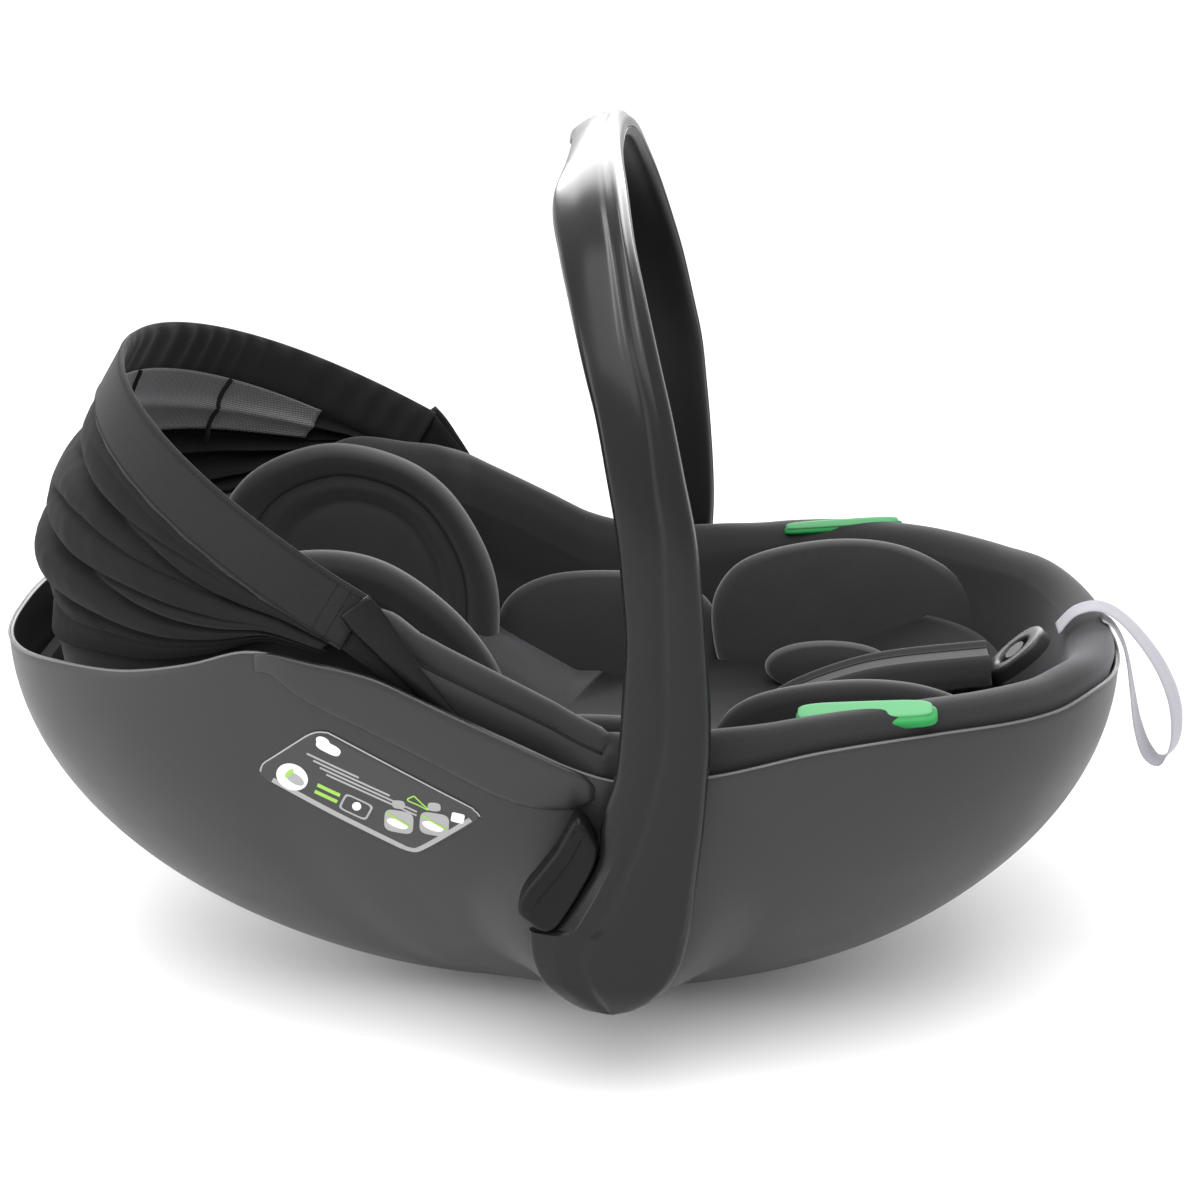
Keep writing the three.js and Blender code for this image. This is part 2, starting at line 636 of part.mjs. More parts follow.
function handleRings(section, seat) {
  return handleStations().map(({ y, z, ny, nz, size }) => {
    const height = Math.min(z, 554);
    const rear = polyline(ARM_REAR, height);
    const front = polyline(ARM_FRONT, height);
    const ridge = (curve(ARM_RIDGE, height) - rear) / (front - rear);
    return section.map((item) => {
      const [f, n] = item[0] === "ridge" ? [Math.min(0.8, Math.max(0.3, ridge)) + item[1], item[2]] : item;
      const out = seat + (n - seat) * size;
      return [lerp(rear, front, f), y + ny * out, z + nz * out];
    });
  });
}
{
  let outer = solidOf(ringSolid(handleRings(OUTER_SECTION, -2.8)));
  let inner = solidOf(ringSolid(handleRings(INNER_SECTION, -3.1)));
  for (const [, side] of sides) {
    const bore = solidOf(rodY(PIVOT_X, PIVOT_Z, BORE_R, side * 205, side * 224));
    outer = outer.subtract(bore);
    inner = inner.subtract(bore);
  }
  add("handle_outer", geometryFrom(outer), HANDLE_COLOR, 0.3);
  add("handle_inner", geometryFrom(inner), 0x202022, 0.5);
}
for (const [name, side] of sides) {
  add("pivot_axle_" + name, rodY(PIVOT_X, PIVOT_Z, AXLE_R, side * AXLE_IN, side * 223.6), 0xa0a2a6, 0.35, 1);
  const ring = solidOf(rodY(PIVOT_X, PIVOT_Z, 30, side * (BOSS_TOP + GAP), side * 211, 28));
  const bore = solidOf(rodY(PIVOT_X, PIVOT_Z, BORE_R, side * 200, side * 215));
  add("pivot_ring_" + name, geometryFrom(ring.subtract(bore)), 0x2c2c2e, 0.5);
}
const PADDLE = [
  [0, 196], [5, 192.5], [8, 187], [11.6, 178], [9.6, 166], [0.8, 148], [-8, 133], [-13, 127], [-19, 125.2],
  [-27, 130], [-33, 136], [-33, 143], [-29.5, 151], [-22, 161], [-12, 175], [-4.5, 189.5],
];
for (const [name, side] of sides) {
  add("release_button_" + name, plateY(PADDLE, side * 213, side * 230, 3), 0x161617, 0.35);
}

// ---------- canopy ----------
const bowAxis = [BOW_TOP[0] - BOW_FOOT[0], BOW_TOP[1] - BOW_FOOT[1]];
const bowLength = Math.hypot(...bowAxis);
const HEM_X = bowAxis[1] / bowLength;
const HEM_Z = -bowAxis[0] / bowLength;
function bowPoint(t, across, out) {
  const [c, s] = [Math.cos(t), Math.sin(t)];
  const normal = new THREE.Vector2(BOW_Y * c, bowLength * s).normalize();
  const along = bowLength * c + out * normal.x;
  return [
    BOW_FOOT[0] + (bowAxis[0] / bowLength) * along + HEM_X * across,
    BOW_Y * s + out * normal.y,
    BOW_FOOT[1] + (bowAxis[1] / bowLength) * along + HEM_Z * across,
  ];
}
const BOW_END = (86 * Math.PI) / 180;
const bowGrid = (across, out, count) => Array.from({ length: count + 1 }, (_, i) =>
  across.map((a) => bowPoint(lerp(-BOW_END, BOW_END, i / count), a, out)));
add("canopy_hem", slab(bowGrid([-HEM_HALF, HEM_HALF], 2.2, 28), bowGrid([-HEM_HALF, HEM_HALF], 0.3, 28)),
  0x1b1b1d, 0.9);
add("canopy_bow", slab(bowGrid([-7, 7], 0, 28), bowGrid([-7, 7], -2, 28)), 0x111112, 0.5);

const PIN_R = 4;
for (const [name, side] of sides) {
  const turn = Math.atan2(BOW_FOOT[1] - 2 - CANOPY_Z, BOW_FOOT[0] + 5 - CANOPY_X);
  const arm = boxSolid(0, 90, -7, 7, -1.4, 1.4).rotate([0, 0, (turn * 180) / Math.PI]).rotate([90, 0, 0]);
  let leg = arm.translate([CANOPY_X, side * 194.7, CANOPY_Z]);
  leg = leg.add(solidOf(rodY(CANOPY_X, CANOPY_Z, 10, side * 193.3, side * 196.1)));
  leg = leg.subtract(solidOf(rodY(CANOPY_X, CANOPY_Z, PIN_R + GAP, side * 190, side * 199, 18)));
  add("canopy_leg_" + name, geometryFrom(leg), 0x151516, 0.5);
  const pin = solidOf(rodY(CANOPY_X, CANOPY_Z, PIN_R, side * 191.3, side * 197, 18));
  const disc = solidOf(rodY(CANOPY_X, CANOPY_Z, 9, side * 196.4, side * 197.5));
  add("canopy_socket_" + name, geometryFrom(pin.add(disc)), 0x2a2a2c, 0.5);
}

// Panel of revolution about the canopy pivot, from the hem's sewn edge back to just above the rim.
const PANEL_END = (70 * Math.PI) / 180;
function panel(drop, thick, start, stop) {
  const columns = 16;
  const rows = 4;
  const point = (t, turn, out) => {
    const [x, y, z] = bowPoint(t, -HEM_HALF - 0.5, 0);
    const [dx, dz] = [x - CANOPY_X, z - CANOPY_Z];
    const k = 1 + out / Math.hypot(dx, dz);
    const [c, s] = [Math.cos(turn) * k, Math.sin(turn) * k];
    return [CANOPY_X + dx * c - dz * s, y, CANOPY_Z + dx * s + dz * c];
  };
  const limit = (t) => {
    let turn = 0.02;
    for (let i = 0; i < 200; i += 1) {
      const [x, , z] = point(t, turn + 0.004, 0);
      if (z < curve(RIM, x) + 4) break;
      turn += 0.004;
    }
    return turn;
  };
  const grid = (out) => Array.from({ length: columns + 1 }, (_, c) => {
    const t = lerp(-PANEL_END, PANEL_END, c / columns);
    const last = stop === null ? limit(t) : stop;
    return Array.from({ length: rows + 1 }, (_, r) => point(t, lerp(start, last, r / rows), out));
  });
  return slab(grid(-drop), grid(-drop - thick));
}
add("canopy_front_panel", panel(0, 1.2, 0, null), FABRIC, 0.9);
add("canopy_mid_panel", panel(PANEL_STEP, 1.2, 0.006, null), FABRIC, 0.9);
add("canopy_mid_rib", panel(PANEL_STEP + 2.1, 1.4, 0.012, 0.06), 0x151516, 0.6);
add("canopy_rear_panel", panel(2 * PANEL_STEP, 1.2, 0.012, null), FABRIC, 0.9);

export default group;
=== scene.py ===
"""Looks of the infant car seat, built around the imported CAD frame. Sizes are millimetres.

+X points to the feet, +Z up. "near" is the right-hand side (-Y), "far" the left-hand side (+Y)."""

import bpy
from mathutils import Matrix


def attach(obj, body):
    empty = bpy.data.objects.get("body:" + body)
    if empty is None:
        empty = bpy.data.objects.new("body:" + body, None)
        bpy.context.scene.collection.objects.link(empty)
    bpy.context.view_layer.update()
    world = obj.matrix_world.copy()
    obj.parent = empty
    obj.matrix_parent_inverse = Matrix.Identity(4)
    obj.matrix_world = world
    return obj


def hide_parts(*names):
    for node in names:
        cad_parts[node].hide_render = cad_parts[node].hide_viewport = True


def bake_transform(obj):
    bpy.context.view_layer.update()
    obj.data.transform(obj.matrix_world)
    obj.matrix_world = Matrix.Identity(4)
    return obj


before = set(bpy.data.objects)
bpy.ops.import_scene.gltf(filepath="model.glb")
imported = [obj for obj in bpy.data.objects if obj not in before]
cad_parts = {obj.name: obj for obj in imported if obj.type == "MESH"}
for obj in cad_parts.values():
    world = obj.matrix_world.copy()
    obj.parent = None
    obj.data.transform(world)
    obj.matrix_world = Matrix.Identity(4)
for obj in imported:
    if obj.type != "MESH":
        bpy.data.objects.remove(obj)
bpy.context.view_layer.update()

import math

import bmesh
import bpy
import numpy as np
from mathutils import Vector

MM = 0.001
PI = math.pi

# ---------- sizes shared with the CAD ----------
HEAD, FOOT, SIDE = 366.0, 328.0, 205.0
PLAN_POWER, WALL_POWER, SINK, SHELL_WALL = 2.5, 1.8, 7.0, 3.0
COVER_IN, SEAT_OUT = 30.0, 32.0
RIM = [(-366, 238), (-340, 244), (-310, 250), (-266, 256), (-225, 267), (-190, 279), (-158, 276),
       (-120, 269), (-80, 252), (-40, 234), (0, 216), (30, 209), (75, 213), (139, 226), (204, 231),
       (278, 229), (305, 231), (328, 226)]
ROLL_RISE = [(-366, 8), (-300, 15), (-220, 24), (-150, 26), (20, 24), (80, 22), (120, 17), (200, 15),
             (270, 16), (328, 12)]
ROLL_INSET = [(-366, 29), (-120, 23), (-100, 14), (-15, 14), (15, 4), (328, 4)]
SEAT_LINE = [(-320, 215), (-280, 205), (-220, 170), (-150, 142), (-60, 128), (20, 128), (70, 138),
             (110, 152), (160, 170), (220, 187), (300, 200)]
PIVOT_X, PIVOT_Z, BOSS_TOP = 19.0, 115.0, 205.8
ARM_Y, SPRING_Z, ARCH_RISE, ARCH_POWER = 221.0, 330.0, 212.0, 2.45
ARM_FRONT = [(70.2, 22), (72, 31), (75, 37), (79, 43), (90, 53), (102, 59), (114, 62), (131, 65), (159, 68),
             (186, 71), (212, 73), (239, 74.5), (264, 74), (300, 71.5), (330, 68.5), (361, 65), (395, 58),
             (425, 51.5), (450, 45), (483, 36), (507, 29), (530, 23), (542, 18)]
ARM_REAR_LOW = [(70.2, 17), (72, 6), (75, -1), (79, -7), (90, -19), (102, -24.6), (114, -26.8), (123.2, -27)]
ARM_REAR = [(125.2, -12.2), (133, -7), (148, 2), (166, 11), (178, 13), (187, 13.5), (203, 17), (220, 22),
            (240, 24), (265, 25.5), (300, 27), (330, 25), (361, 22), (395, 16), (425, 10), (450, 3),
            (483, -6), (507, -13), (530, -19), (542, -14)]
ARM_RIDGE = [(70.2, 19), (102, 2), (129, 9), (167, 29), (191, 37), (215, 43), (241, 48), (267, 49), (360, 46),
             (386, 42), (427, 36), (460, 27), (501, 18), (530, 10), (545, 5)]
CANOPY_X, CANOPY_Z = -60.0, 225.0
BOW_Y, BOW_FOOT, BOW_TOP, HEM_HALF = 190.0, (-114.0, 290.0), (-296.0, 397.0), 18.5
BUCKLE_X = 78.0
SLOT_Y, SLOT_HALF = 84.0, 1.6
SIDES = (("left", 1), ("right", -1))


# ---------- numbers ----------
def curve(stations, x):
    """Smooth curve through (x, y) stations, flat outside the ends."""
    s = np.array(stations, float)
    xs, ys = s[:, 0], s[:, 1]
    x = np.clip(np.asarray(x, float), xs[0], xs[-1])
    i = np.clip(np.searchsorted(xs, x, side="right") - 1, 0, len(xs) - 2)
    before, after = np.maximum(i - 1, 0), np.minimum(i + 2, len(xs) - 1)
    step = xs[i + 1] - xs[i]
    t = (x - xs[i]) / step
    m1 = (ys[i + 1] - ys[before]) / (xs[i + 1] - xs[before]) * step
    m2 = (ys[after] - ys[i]) / (xs[after] - xs[i]) * step
    return ((2 * t**3 - 3 * t**2 + 1) * ys[i] + (t**3 - 2 * t**2 + t) * m1
            + (3 * t**2 - 2 * t**3) * ys[i + 1] + (t**3 - t**2) * m2)


def polyline(stations, x):
    s = np.array(stations, float)
    return np.interp(x, s[:, 0], s[:, 1])


def lerp(a, b, t):
    return a + (b - a) * t


def unit(v):
    return v / np.linalg.norm(v, axis=-1, keepdims=True)


def lattice(first, last, rows, start, stop, cols):
    """Two grids of rows by cols: first to last runs down the rows, start to stop across them."""
    return np.meshgrid(np.linspace(first, last, rows), np.linspace(start, stop, cols), indexing="ij")


def ramp(low, high, x):
    t = np.clip((np.asarray(x, float) - low) / (high - low), 0, 1)
    return t * t * (3 - 2 * t)


def spline(points, count, closed=False):
    """Points spread evenly along a Catmull-Rom curve through the given points, of any dimension."""
    p = np.array(points, float)
    n = len(p)
    fine = []
    for k in range(n if closed else n - 1):
        if closed:
            p0, p1, p2, p3 = p[(k - 1) % n], p[k], p[(k + 1) % n], p[(k + 2) % n]
        else:
            p0, p1, p2, p3 = p[max(k - 1, 0)], p[k], p[k + 1], p[min(k + 2, n - 1)]
        t = np.linspace(0, 1, 24, endpoint=False)[:, None]
        fine.append(0.5 * (2 * p1 + (p2 - p0) * t + (2 * p0 - 5 * p1 + 4 * p2 - p3) * t**2
                           + (3 * p1 - 3 * p2 + p3 - p0) * t**3))
    fine = np.concatenate(fine + [p[:1] if closed else p[-1:]])
    along = np.concatenate([[0], np.cumsum(np.linalg.norm(np.diff(fine, axis=0), axis=1))])
    want = np.linspace(0, along[-1], count, endpoint=not closed)
    return np.stack([np.interp(want, along, fine[:, k]) for k in range(p.shape[1])], -1)


def resample(grid, rows):
    """Catmull-Rom along the first axis of a (rings, points, 3) grid, to this many rows."""
    n = len(grid)
    u = np.linspace(0, n - 1, rows)
    i = np.minimum(u.astype(int), n - 2)
    t = (u - i)[:, None, None]
    p0, p1 = grid[np.maximum(i - 1, 0)], grid[i]
    p2, p3 = grid[i + 1], grid[np.minimum(i + 2, n - 1)]
    return 0.5 * (2 * p1 + (p2 - p0) * t + (2 * p0 - 5 * p1 + 4 * p2 - p3) * t**2
                  + (3 * p1 - 3 * p2 + p3 - p0) * t**3)


def ripple(a, b, seed, octaves=3):
    """Smooth deterministic noise of two coordinates, about -1 to 1."""
    rng = np.random.default_rng(seed)
    total = np.zeros(np.broadcast(a, b).shape)
    for k in range(octaves):
        for _ in range(3):
            fa, fb, shift = rng.uniform(-1, 1), rng.uniform(-1, 1), rng.uniform(0, 2 * PI)
            total = total + np.sin((fa * a + fb * b) * (1.7**k) + shift) / (1.5**k) / 4
    return total


# ---------- meshes ----------
class Shape:
    """Collects vertices and faces in millimetres."""

    def __init__(self):
        self.v, self.f, self.n = [], [], 0

    def grid(self, p, wrap=False, wrap_rows=False):
        p = np.asarray(p, float)
        rows, cols = p.shape[:2]
        self.v.append(p.reshape(-1, 3))
        base = self.n
        self.n += rows * cols
        for r in range(rows if wrap_rows else rows - 1):
            up = (r + 1) % rows
            for c in range(cols if wrap else cols - 1):
                d = (c + 1) % cols
                self.f.append((base + r * cols + c, base + r * cols + d, base + up * cols + d,
                               base + up * cols + c))
        return self

    def rings(self, p):
        """Closed rings with a cap at both ends."""
        p = np.asarray(p, float)
        rows, cols = p.shape[:2]
        base = self.n
        self.grid(p, wrap=True)
        for row in (0, rows - 1):
            self.v.append(p[row].mean(axis=0)[None])
            middle = self.n
            self.n += 1
            for c in range(cols):
                d = (c + 1) % cols
                self.f.append((base + row * cols + c, base + row * cols + d, middle))
        return self

    def sheet(self, top, bottom):
        """Closed slab between two grids of the same size."""
        both = np.concatenate([np.asarray(top, float), np.asarray(bottom, float)[:, ::-1]], axis=1)
        rows, cols = both.shape[:2]
        base = self.n
        self.grid(both, wrap=True)
        half = cols // 2
        for row in (0, rows - 1):
            for c in range(half - 1):
                k = base + row * cols
                self.f.append((k + c, k + c + 1, k + cols - 2 - c, k + cols - 1 - c))
        return self


def make(name, shape, material, body="carrier", stands=(), sharp=None):
    mesh = bpy.data.meshes.new(name)
    mesh.from_pydata((np.concatenate(shape.v) * MM).tolist(), [], shape.f)
    bm = bmesh.new()
    bm.from_mesh(mesh)
    bmesh.ops.remove_doubles(bm, verts=bm.verts, dist=2e-6)
    bmesh.ops.recalc_face_normals(bm, faces=bm.faces)
    bm.to_mesh(mesh)
    bm.free()
    mesh.polygons.foreach_set("use_smooth", [True] * len(mesh.polygons))
    if sharp:
        mesh.set_sharp_from_angle(angle=math.radians(sharp))
    thing = bpy.data.objects.new(name, mesh)
    bpy.context.scene.collection.objects.link(thing)
    dress(thing, material)
    if body:
        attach(thing, body)
    if stands:
        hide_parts(*stands)
    return thing


def dress(thing, material):
    thing.data.materials.clear()
    thing.data.materials.append(MATERIALS[material][0])


# ---------- materials ----------
def wire(tree, kind, **settings):
    node = tree.nodes.new(kind)
    for key, value in settings.items():
        setattr(node, key, value)
    return node


def calc(tree, operation, a, b=None):
    node = wire(tree, "ShaderNodeMath", operation=operation)
    for socket, value in zip(node.inputs, (a, b)):
        if value is None:
            continue
        if isinstance(value, (int, float)):
            socket.default_value = value
        else:
            tree.links.new(value, socket)
    return node.outputs[0]


def shaded(name, color, rough, metallic=0.0, sheen=0.0, specular=0.5):
    material = bpy.data.materials.new(name)
    material.use_nodes = True
    tree = material.node_tree
    shader = tree.nodes["Principled BSDF"]
    shader.inputs["Base Color"].default_value = (*color, 1)
    shader.inputs["Roughness"].default_value = rough
    shader.inputs["Metallic"].default_value = metallic
    shader.inputs["Specular IOR Level"].default_value = specular
    if sheen:
        shader.inputs["Sheen Weight"].default_value = sheen
        shader.inputs["Sheen Roughness"].default_value = 0.45
        shader.inputs["Sheen Tint"].default_value = (0.8, 0.8, 0.84, 1)
    place = wire(tree, "ShaderNodeTexCoord").outputs["Object"]
    return material, tree, shader, place


def noise(tree, place, scale, detail):
    node = wire(tree, "ShaderNodeTexNoise")
    node.inputs["Scale"].default_value = scale
    node.inputs["Detail"].default_value = detail
    tree.links.new(place, node.inputs["Vector"])
    return node.outputs[0]


def mixed(tree, factor, color, shade):
    """A base colour that varies a little with the factor."""
    node = wire(tree, "ShaderNodeMix", data_type="RGBA")
    tree.links.new(factor, node.inputs[0])
    node.inputs[6].default_value = (*[c * (1 - shade) for c in color], 1)
    node.inputs[7].default_value = (*[min(1, c * (1 + shade)) for c in color], 1)
    return node.outputs[2]


def bump(tree, shader, height, strength, distance):
    node = wire(tree, "ShaderNodeBump")
    node.inputs["Strength"].default_value = strength
    node.inputs["Distance"].default_value = distance
    tree.links.new(height, node.inputs["Height"])
    tree.links.new(node.outputs[0], shader.inputs["Normal"])


def plastic(name, color, rough, grain=0.12, wear=0.06, metallic=0.0, specular=0.5):
    """Moulded plastic with a fine grain; wear is how much its tone and gloss drift over the piece."""
    material, tree, shader, place = shaded(name, color, rough, metallic=metallic, specular=specular)
    fine = noise(tree, place, 1400, 2)
    broad = noise(tree, place, 22, 4)
    tree.links.new(mixed(tree, broad, color, wear), shader.inputs["Base Color"])
    spread = calc(tree, "MULTIPLY", calc(tree, "SUBTRACT", broad, 0.5), 0.16)
    tree.links.new(calc(tree, "ADD", spread, rough), shader.inputs["Roughness"])
    bump(tree, shader, fine, grain, 0.0002)
    return material


def cloth(name, color, thread, pattern, sheen=0.25, depth=0.35, shade=0.18, specular=0.2):
    """Woven, twill or knitted cloth; thread is the repeat in millimetres."""
    material, tree, shader, place = shaded(name, color, 0.88, sheen=sheen, specular=specular)
    parts = wire(tree, "ShaderNodeSeparateXYZ")
    tree.links.new(place, parts.inputs[0])
    x = parts.outputs[0]
    climb = calc(tree, "ADD", calc(tree, "MULTIPLY", parts.outputs[1], 0.8), parts.outputs[2])
    rate = 2 * PI / (thread * MM)
    if pattern == "twill":
        slant = calc(tree, "ADD", x, calc(tree, "MULTIPLY", climb, 1.4))
        weave = calc(tree, "SINE", calc(tree, "MULTIPLY", slant, rate))
        cross = calc(tree, "SINE", calc(tree, "MULTIPLY", climb, rate * 2.2))
        height = calc(tree, "ADD", calc(tree, "MULTIPLY", weave, 0.4), calc(tree, "MULTIPLY", cross, 0.12))
    else:
        loops = rate * (0.6 if pattern == "knit" else 1.0)
        across = calc(tree, "SINE", calc(tree, "MULTIPLY", x, rate))
        along = calc(tree, "SINE", calc(tree, "MULTIPLY", climb, loops))
        height = calc(tree, "MULTIPLY", calc(tree, "MULTIPLY", across, along), 0.5)
    fuzz = noise(tree, place, 900, 3)
    tone = noise(tree, place, 14, 5)
    mixing = calc(tree, "ADD", calc(tree, "MULTIPLY", height, 0.5), tone)
    tree.links.new(mixed(tree, mixing, color, shade), shader.inputs["Base Color"])
    bump(tree, shader, calc(tree, "ADD", height, fuzz), depth, 0.00025)
    return material


NET_REPEAT = 2.6


def netting(name, color, hole):
    """Silver-grey mesh: light threads over dark holes."""
    material, tree, shader, place = shaded(name, color, 0.55, sheen=0.3)
    parts = wire(tree, "ShaderNodeSeparateXYZ")
    tree.links.new(place, parts.inputs[0])
    slant = calc(tree, "ADD", parts.outputs[0], calc(tree, "MULTIPLY", parts.outputs[1], 0.7))
    rate = 2 * PI / (NET_REPEAT * MM)
    threads = []
    for turn in ("ADD", "SUBTRACT"):
        across = calc(tree, turn, slant, parts.outputs[2])
        threads.append(calc(tree, "SINE", calc(tree, "MULTIPLY", across, rate)))
    holes = calc(tree, "MULTIPLY", *threads)
    picked = calc(tree, "ADD", calc(tree, "MULTIPLY", holes, 0.9), 0.5)
    picked.node.use_clamp = True
    node = wire(tree, "ShaderNodeMix", data_type="RGBA")
    tree.links.new(picked, node.inputs[0])
    node.inputs[6].default_value = (*hole, 1)
    node.inputs[7].default_value = (*color, 1)
    tree.links.new(node.outputs[2], shader.inputs["Base Color"])
    bump(tree, shader, holes, 0.4, 0.0004)
    return material


MATERIALS = {
    "shell": (plastic("shell_satin", (0.0135, 0.0132, 0.013), 0.42, specular=0.36), "shell_plastic"),
    # rim: lighter grey copy of the shell plastic for the bead along the rim top, a painted highlight on the rim
    # edge
    "rim": (plastic("rim_painted_highlight", (0.10, 0.097, 0.094), 0.45, specular=0.3), "shell_plastic"),
    "handle": (plastic("handle_satin", (0.0085, 0.0085, 0.0085), 0.25, grain=0.03, specular=0.19),
               "handle_plastic"),
    "handle_in": (plastic("handle_inside", (0.006, 0.006, 0.0062), 0.45, specular=0.25), "handle_plastic"),
    "black": (plastic("black_moulded", (0.005, 0.005, 0.0052), 0.4, specular=0.12), "black_plastic"),
    "foam": (plastic("foam_grey", (0.03, 0.03, 0.03), 0.9, grain=0.6, specular=0.2), "foam"),
    "canopy": (cloth("canopy_cloth", (0.0068, 0.0068, 0.0070), 1.3, "weave", sheen=0.05, specular=0.12),
               "canopy_fabric"),
    "hem": (cloth("hem_twill", (0.0115, 0.0115, 0.0118), 1.7, "twill", sheen=0.12, depth=0.55,
                  specular=0.15), "canopy_fabric"),
    "cover": (cloth("cover_jersey", (0.017, 0.017, 0.0175), 1.1, "knit", sheen=0.3, specular=0.15),
              "cover_fabric"),
    "pad": (cloth("pad_jersey", (0.018, 0.018, 0.0185), 1.1, "knit", sheen=0.45, specular=0.15),
            "pad_fabric"),
    # insert: darker copy of the pad fabric; the extra darkness is painted shade on the seat bottom
    "insert": (cloth("insert_jersey_shaded", (0.006, 0.006, 0.0062), 1.2, "knit", sheen=0.10, specular=0.15),
               "pad_fabric"),
    "seam": (cloth("seam_thread", (0.008, 0.008, 0.008), 0.9, "twill", sheen=0.05), "cover_fabric"),
    "web": (cloth("dark_web", (0.02, 0.02, 0.021), 1.8, "twill", sheen=0.1, depth=0.6), "dark_webbing"),
    "pale": (cloth("pale_web", (0.30, 0.29, 0.325), 1.6, "twill", sheen=0.5, shade=0.07, depth=0.4),
             "pale_webbing"),
    "net": (netting("window_mesh", (0.15, 0.15, 0.155), (0.008, 0.008, 0.008)), "canopy_fabric"),
    "steel": (plastic("axle_metal", (0.5, 0.5, 0.52), 0.3, metallic=1.0), "axle_steel"),
    "green": (plastic("guide_green", (0.012, 0.20, 0.045), 0.5, grain=0.05, specular=0.2), "green_plastic"),
    # paler copy of the guide green for the top caps: painted light on the guides' upward faces
    "green_lit_top": (plastic("guide_green_lit_top", (0.11, 0.33, 0.155), 0.6, grain=0.05, specular=0.12), "green_plastic"),
    "trim": (plastic("trim_grey", (0.012, 0.012, 0.0125), 0.45, specular=0.3), "trim_plastic"),
    "red": (plastic("button_red", (0.45, 0.02, 0.03), 0.4), "red_plastic"),
    "film": (plastic("label_dark", (0.014, 0.0135, 0.0135), 0.4, grain=0.03), "label_film"),
    "film_edge": (plastic("label_grey", (0.26, 0.26, 0.26), 0.5, grain=0.03), "label_film"),
    "film_pale": (plastic("label_pale", (0.62, 0.62, 0.62), 0.5, grain=0.03), "label_film"),
    "film_green": (plastic("label_green", (0.22, 0.42, 0.05), 0.5, grain=0.03), "label_film"),
}


# ---------- the hull ----------
def rim_point(angle, inset):
    c, s = np.cos(angle), np.sin(angle)
    a = np.where(c < 0, HEAD, FOOT) - inset
    b = SIDE - inset
    e = 2 / PLAN_POWER
    return a * np.sign(c) * np.abs(c)**e, b * np.sign(s) * np.abs(s)**e


def rim_top(angle):
    return curve(RIM, rim_point(angle, 0)[0])


def hull_at(angle, inset, z):
    x, y = rim_point(angle, inset)
    base = inset - SINK
    w = 1 - (z - base) / (rim_top(angle) - base)
    s = np.maximum(0, 1 - w * w)**(1 / WALL_POWER)
    return np.stack([x * s, y * s, z + 0 * x], -1)


def even_angles(count):
    """Angles whose rim points are evenly spaced."""
    fine = np.linspace(0, 2 * PI, 6001)
    x, y = rim_point(fine, 0)
    along = np.concatenate([[0], np.cumsum(np.hypot(np.diff(x), np.diff(y)))])
    return np.interp(np.linspace(0, along[-1], count, endpoint=False), along, fine)


def hull_rings(angles, inset, drop, rows, low=0.0, high=1.0):
    top = rim_top(angles)
    base = inset - SINK
    span = top - base
    first = np.arccos(1 - SINK / span)
    last = np.arccos(np.clip(1 - (top - drop - base) / span, -1, 1))
    out = []
    for f in np.linspace(low, high, rows):
        phi = lerp(first, last, f)
        out.append(hull_at(angles, inset, base + span * (1 - np.cos(phi))))
    return np.array(out)


def angle_at(x, z):
    x, z = np.broadcast_arrays(np.asarray(x, float), np.asarray(z, float))
    low, high = np.full(x.shape, 0.001), np.full(x.shape, PI - 0.001)
    for _ in range(36):
        middle = (low + high) / 2
        over = hull_at(middle, 0, z)[..., 0] > x
        low, high = np.where(over, middle, low), np.where(over, high, middle)
    return (low + high) / 2


def side_point(x, z, lift, side):
    p = hull_at(angle_at(x, z), 0, np.asarray(z, float))
    return np.stack([p[..., 0], side * (p[..., 1] + lift), p[..., 2]], -1)


AROUND = even_angles(260)
LIP_RISE, BEAD_RADIUS = 0.9, 0.8


def build_shell():
    outer = hull_rings(AROUND, 0, 0, 52)
    reach = np.hypot(outer[..., 0] - PIVOT_X, outer[..., 2] - PIVOT_Z)
    swell = ramp(88, 37, reach) * (np.abs(outer[..., 1]) > 100)
    outer[..., 1] += np.sign(outer[..., 1]) * swell * np.maximum(0, BOSS_TOP - np.abs(outer[..., 1]))
    lips = []
    for inset, rise in ((0.2, 0.5), (1.0, LIP_RISE), (2.0, LIP_RISE), (2.8, 0.5)):
        x, y = rim_point(AROUND, inset)
        lips.append(np.stack([x, y, rim_top(AROUND) + rise - LIP_RISE], -1))
    inner = hull_rings(AROUND, SHELL_WALL, LIP_RISE, 20)[::-1]
    outer[-1, :, 2] -= LIP_RISE
    make("shell", Shape().rings(np.concatenate([outer, lips, inner])), "shell", stands=["outer_shell"])
    # A thin bead of the lighter rim plastic along the top of the rim: a painted highlight on the rim edge.
    bead = []
    for a in np.linspace(0, 2 * PI, 8, endpoint=False):
        x, y = rim_point(AROUND, 0.1 + BEAD_RADIUS * math.cos(a))
        bead.append(np.stack([x, y, rim_top(AROUND) - 0.5 + BEAD_RADIUS * math.sin(a)], -1))
    make("rim_highlight_bead", Shape().grid(np.array(bead), wrap=True, wrap_rows=True), "rim")


GUARD_LOW = [(-176, 267), (-158, 253), (-123, 236), (-84, 217), (-52, 200), (-26, 191.5), (-8, 191), (4, 193)]


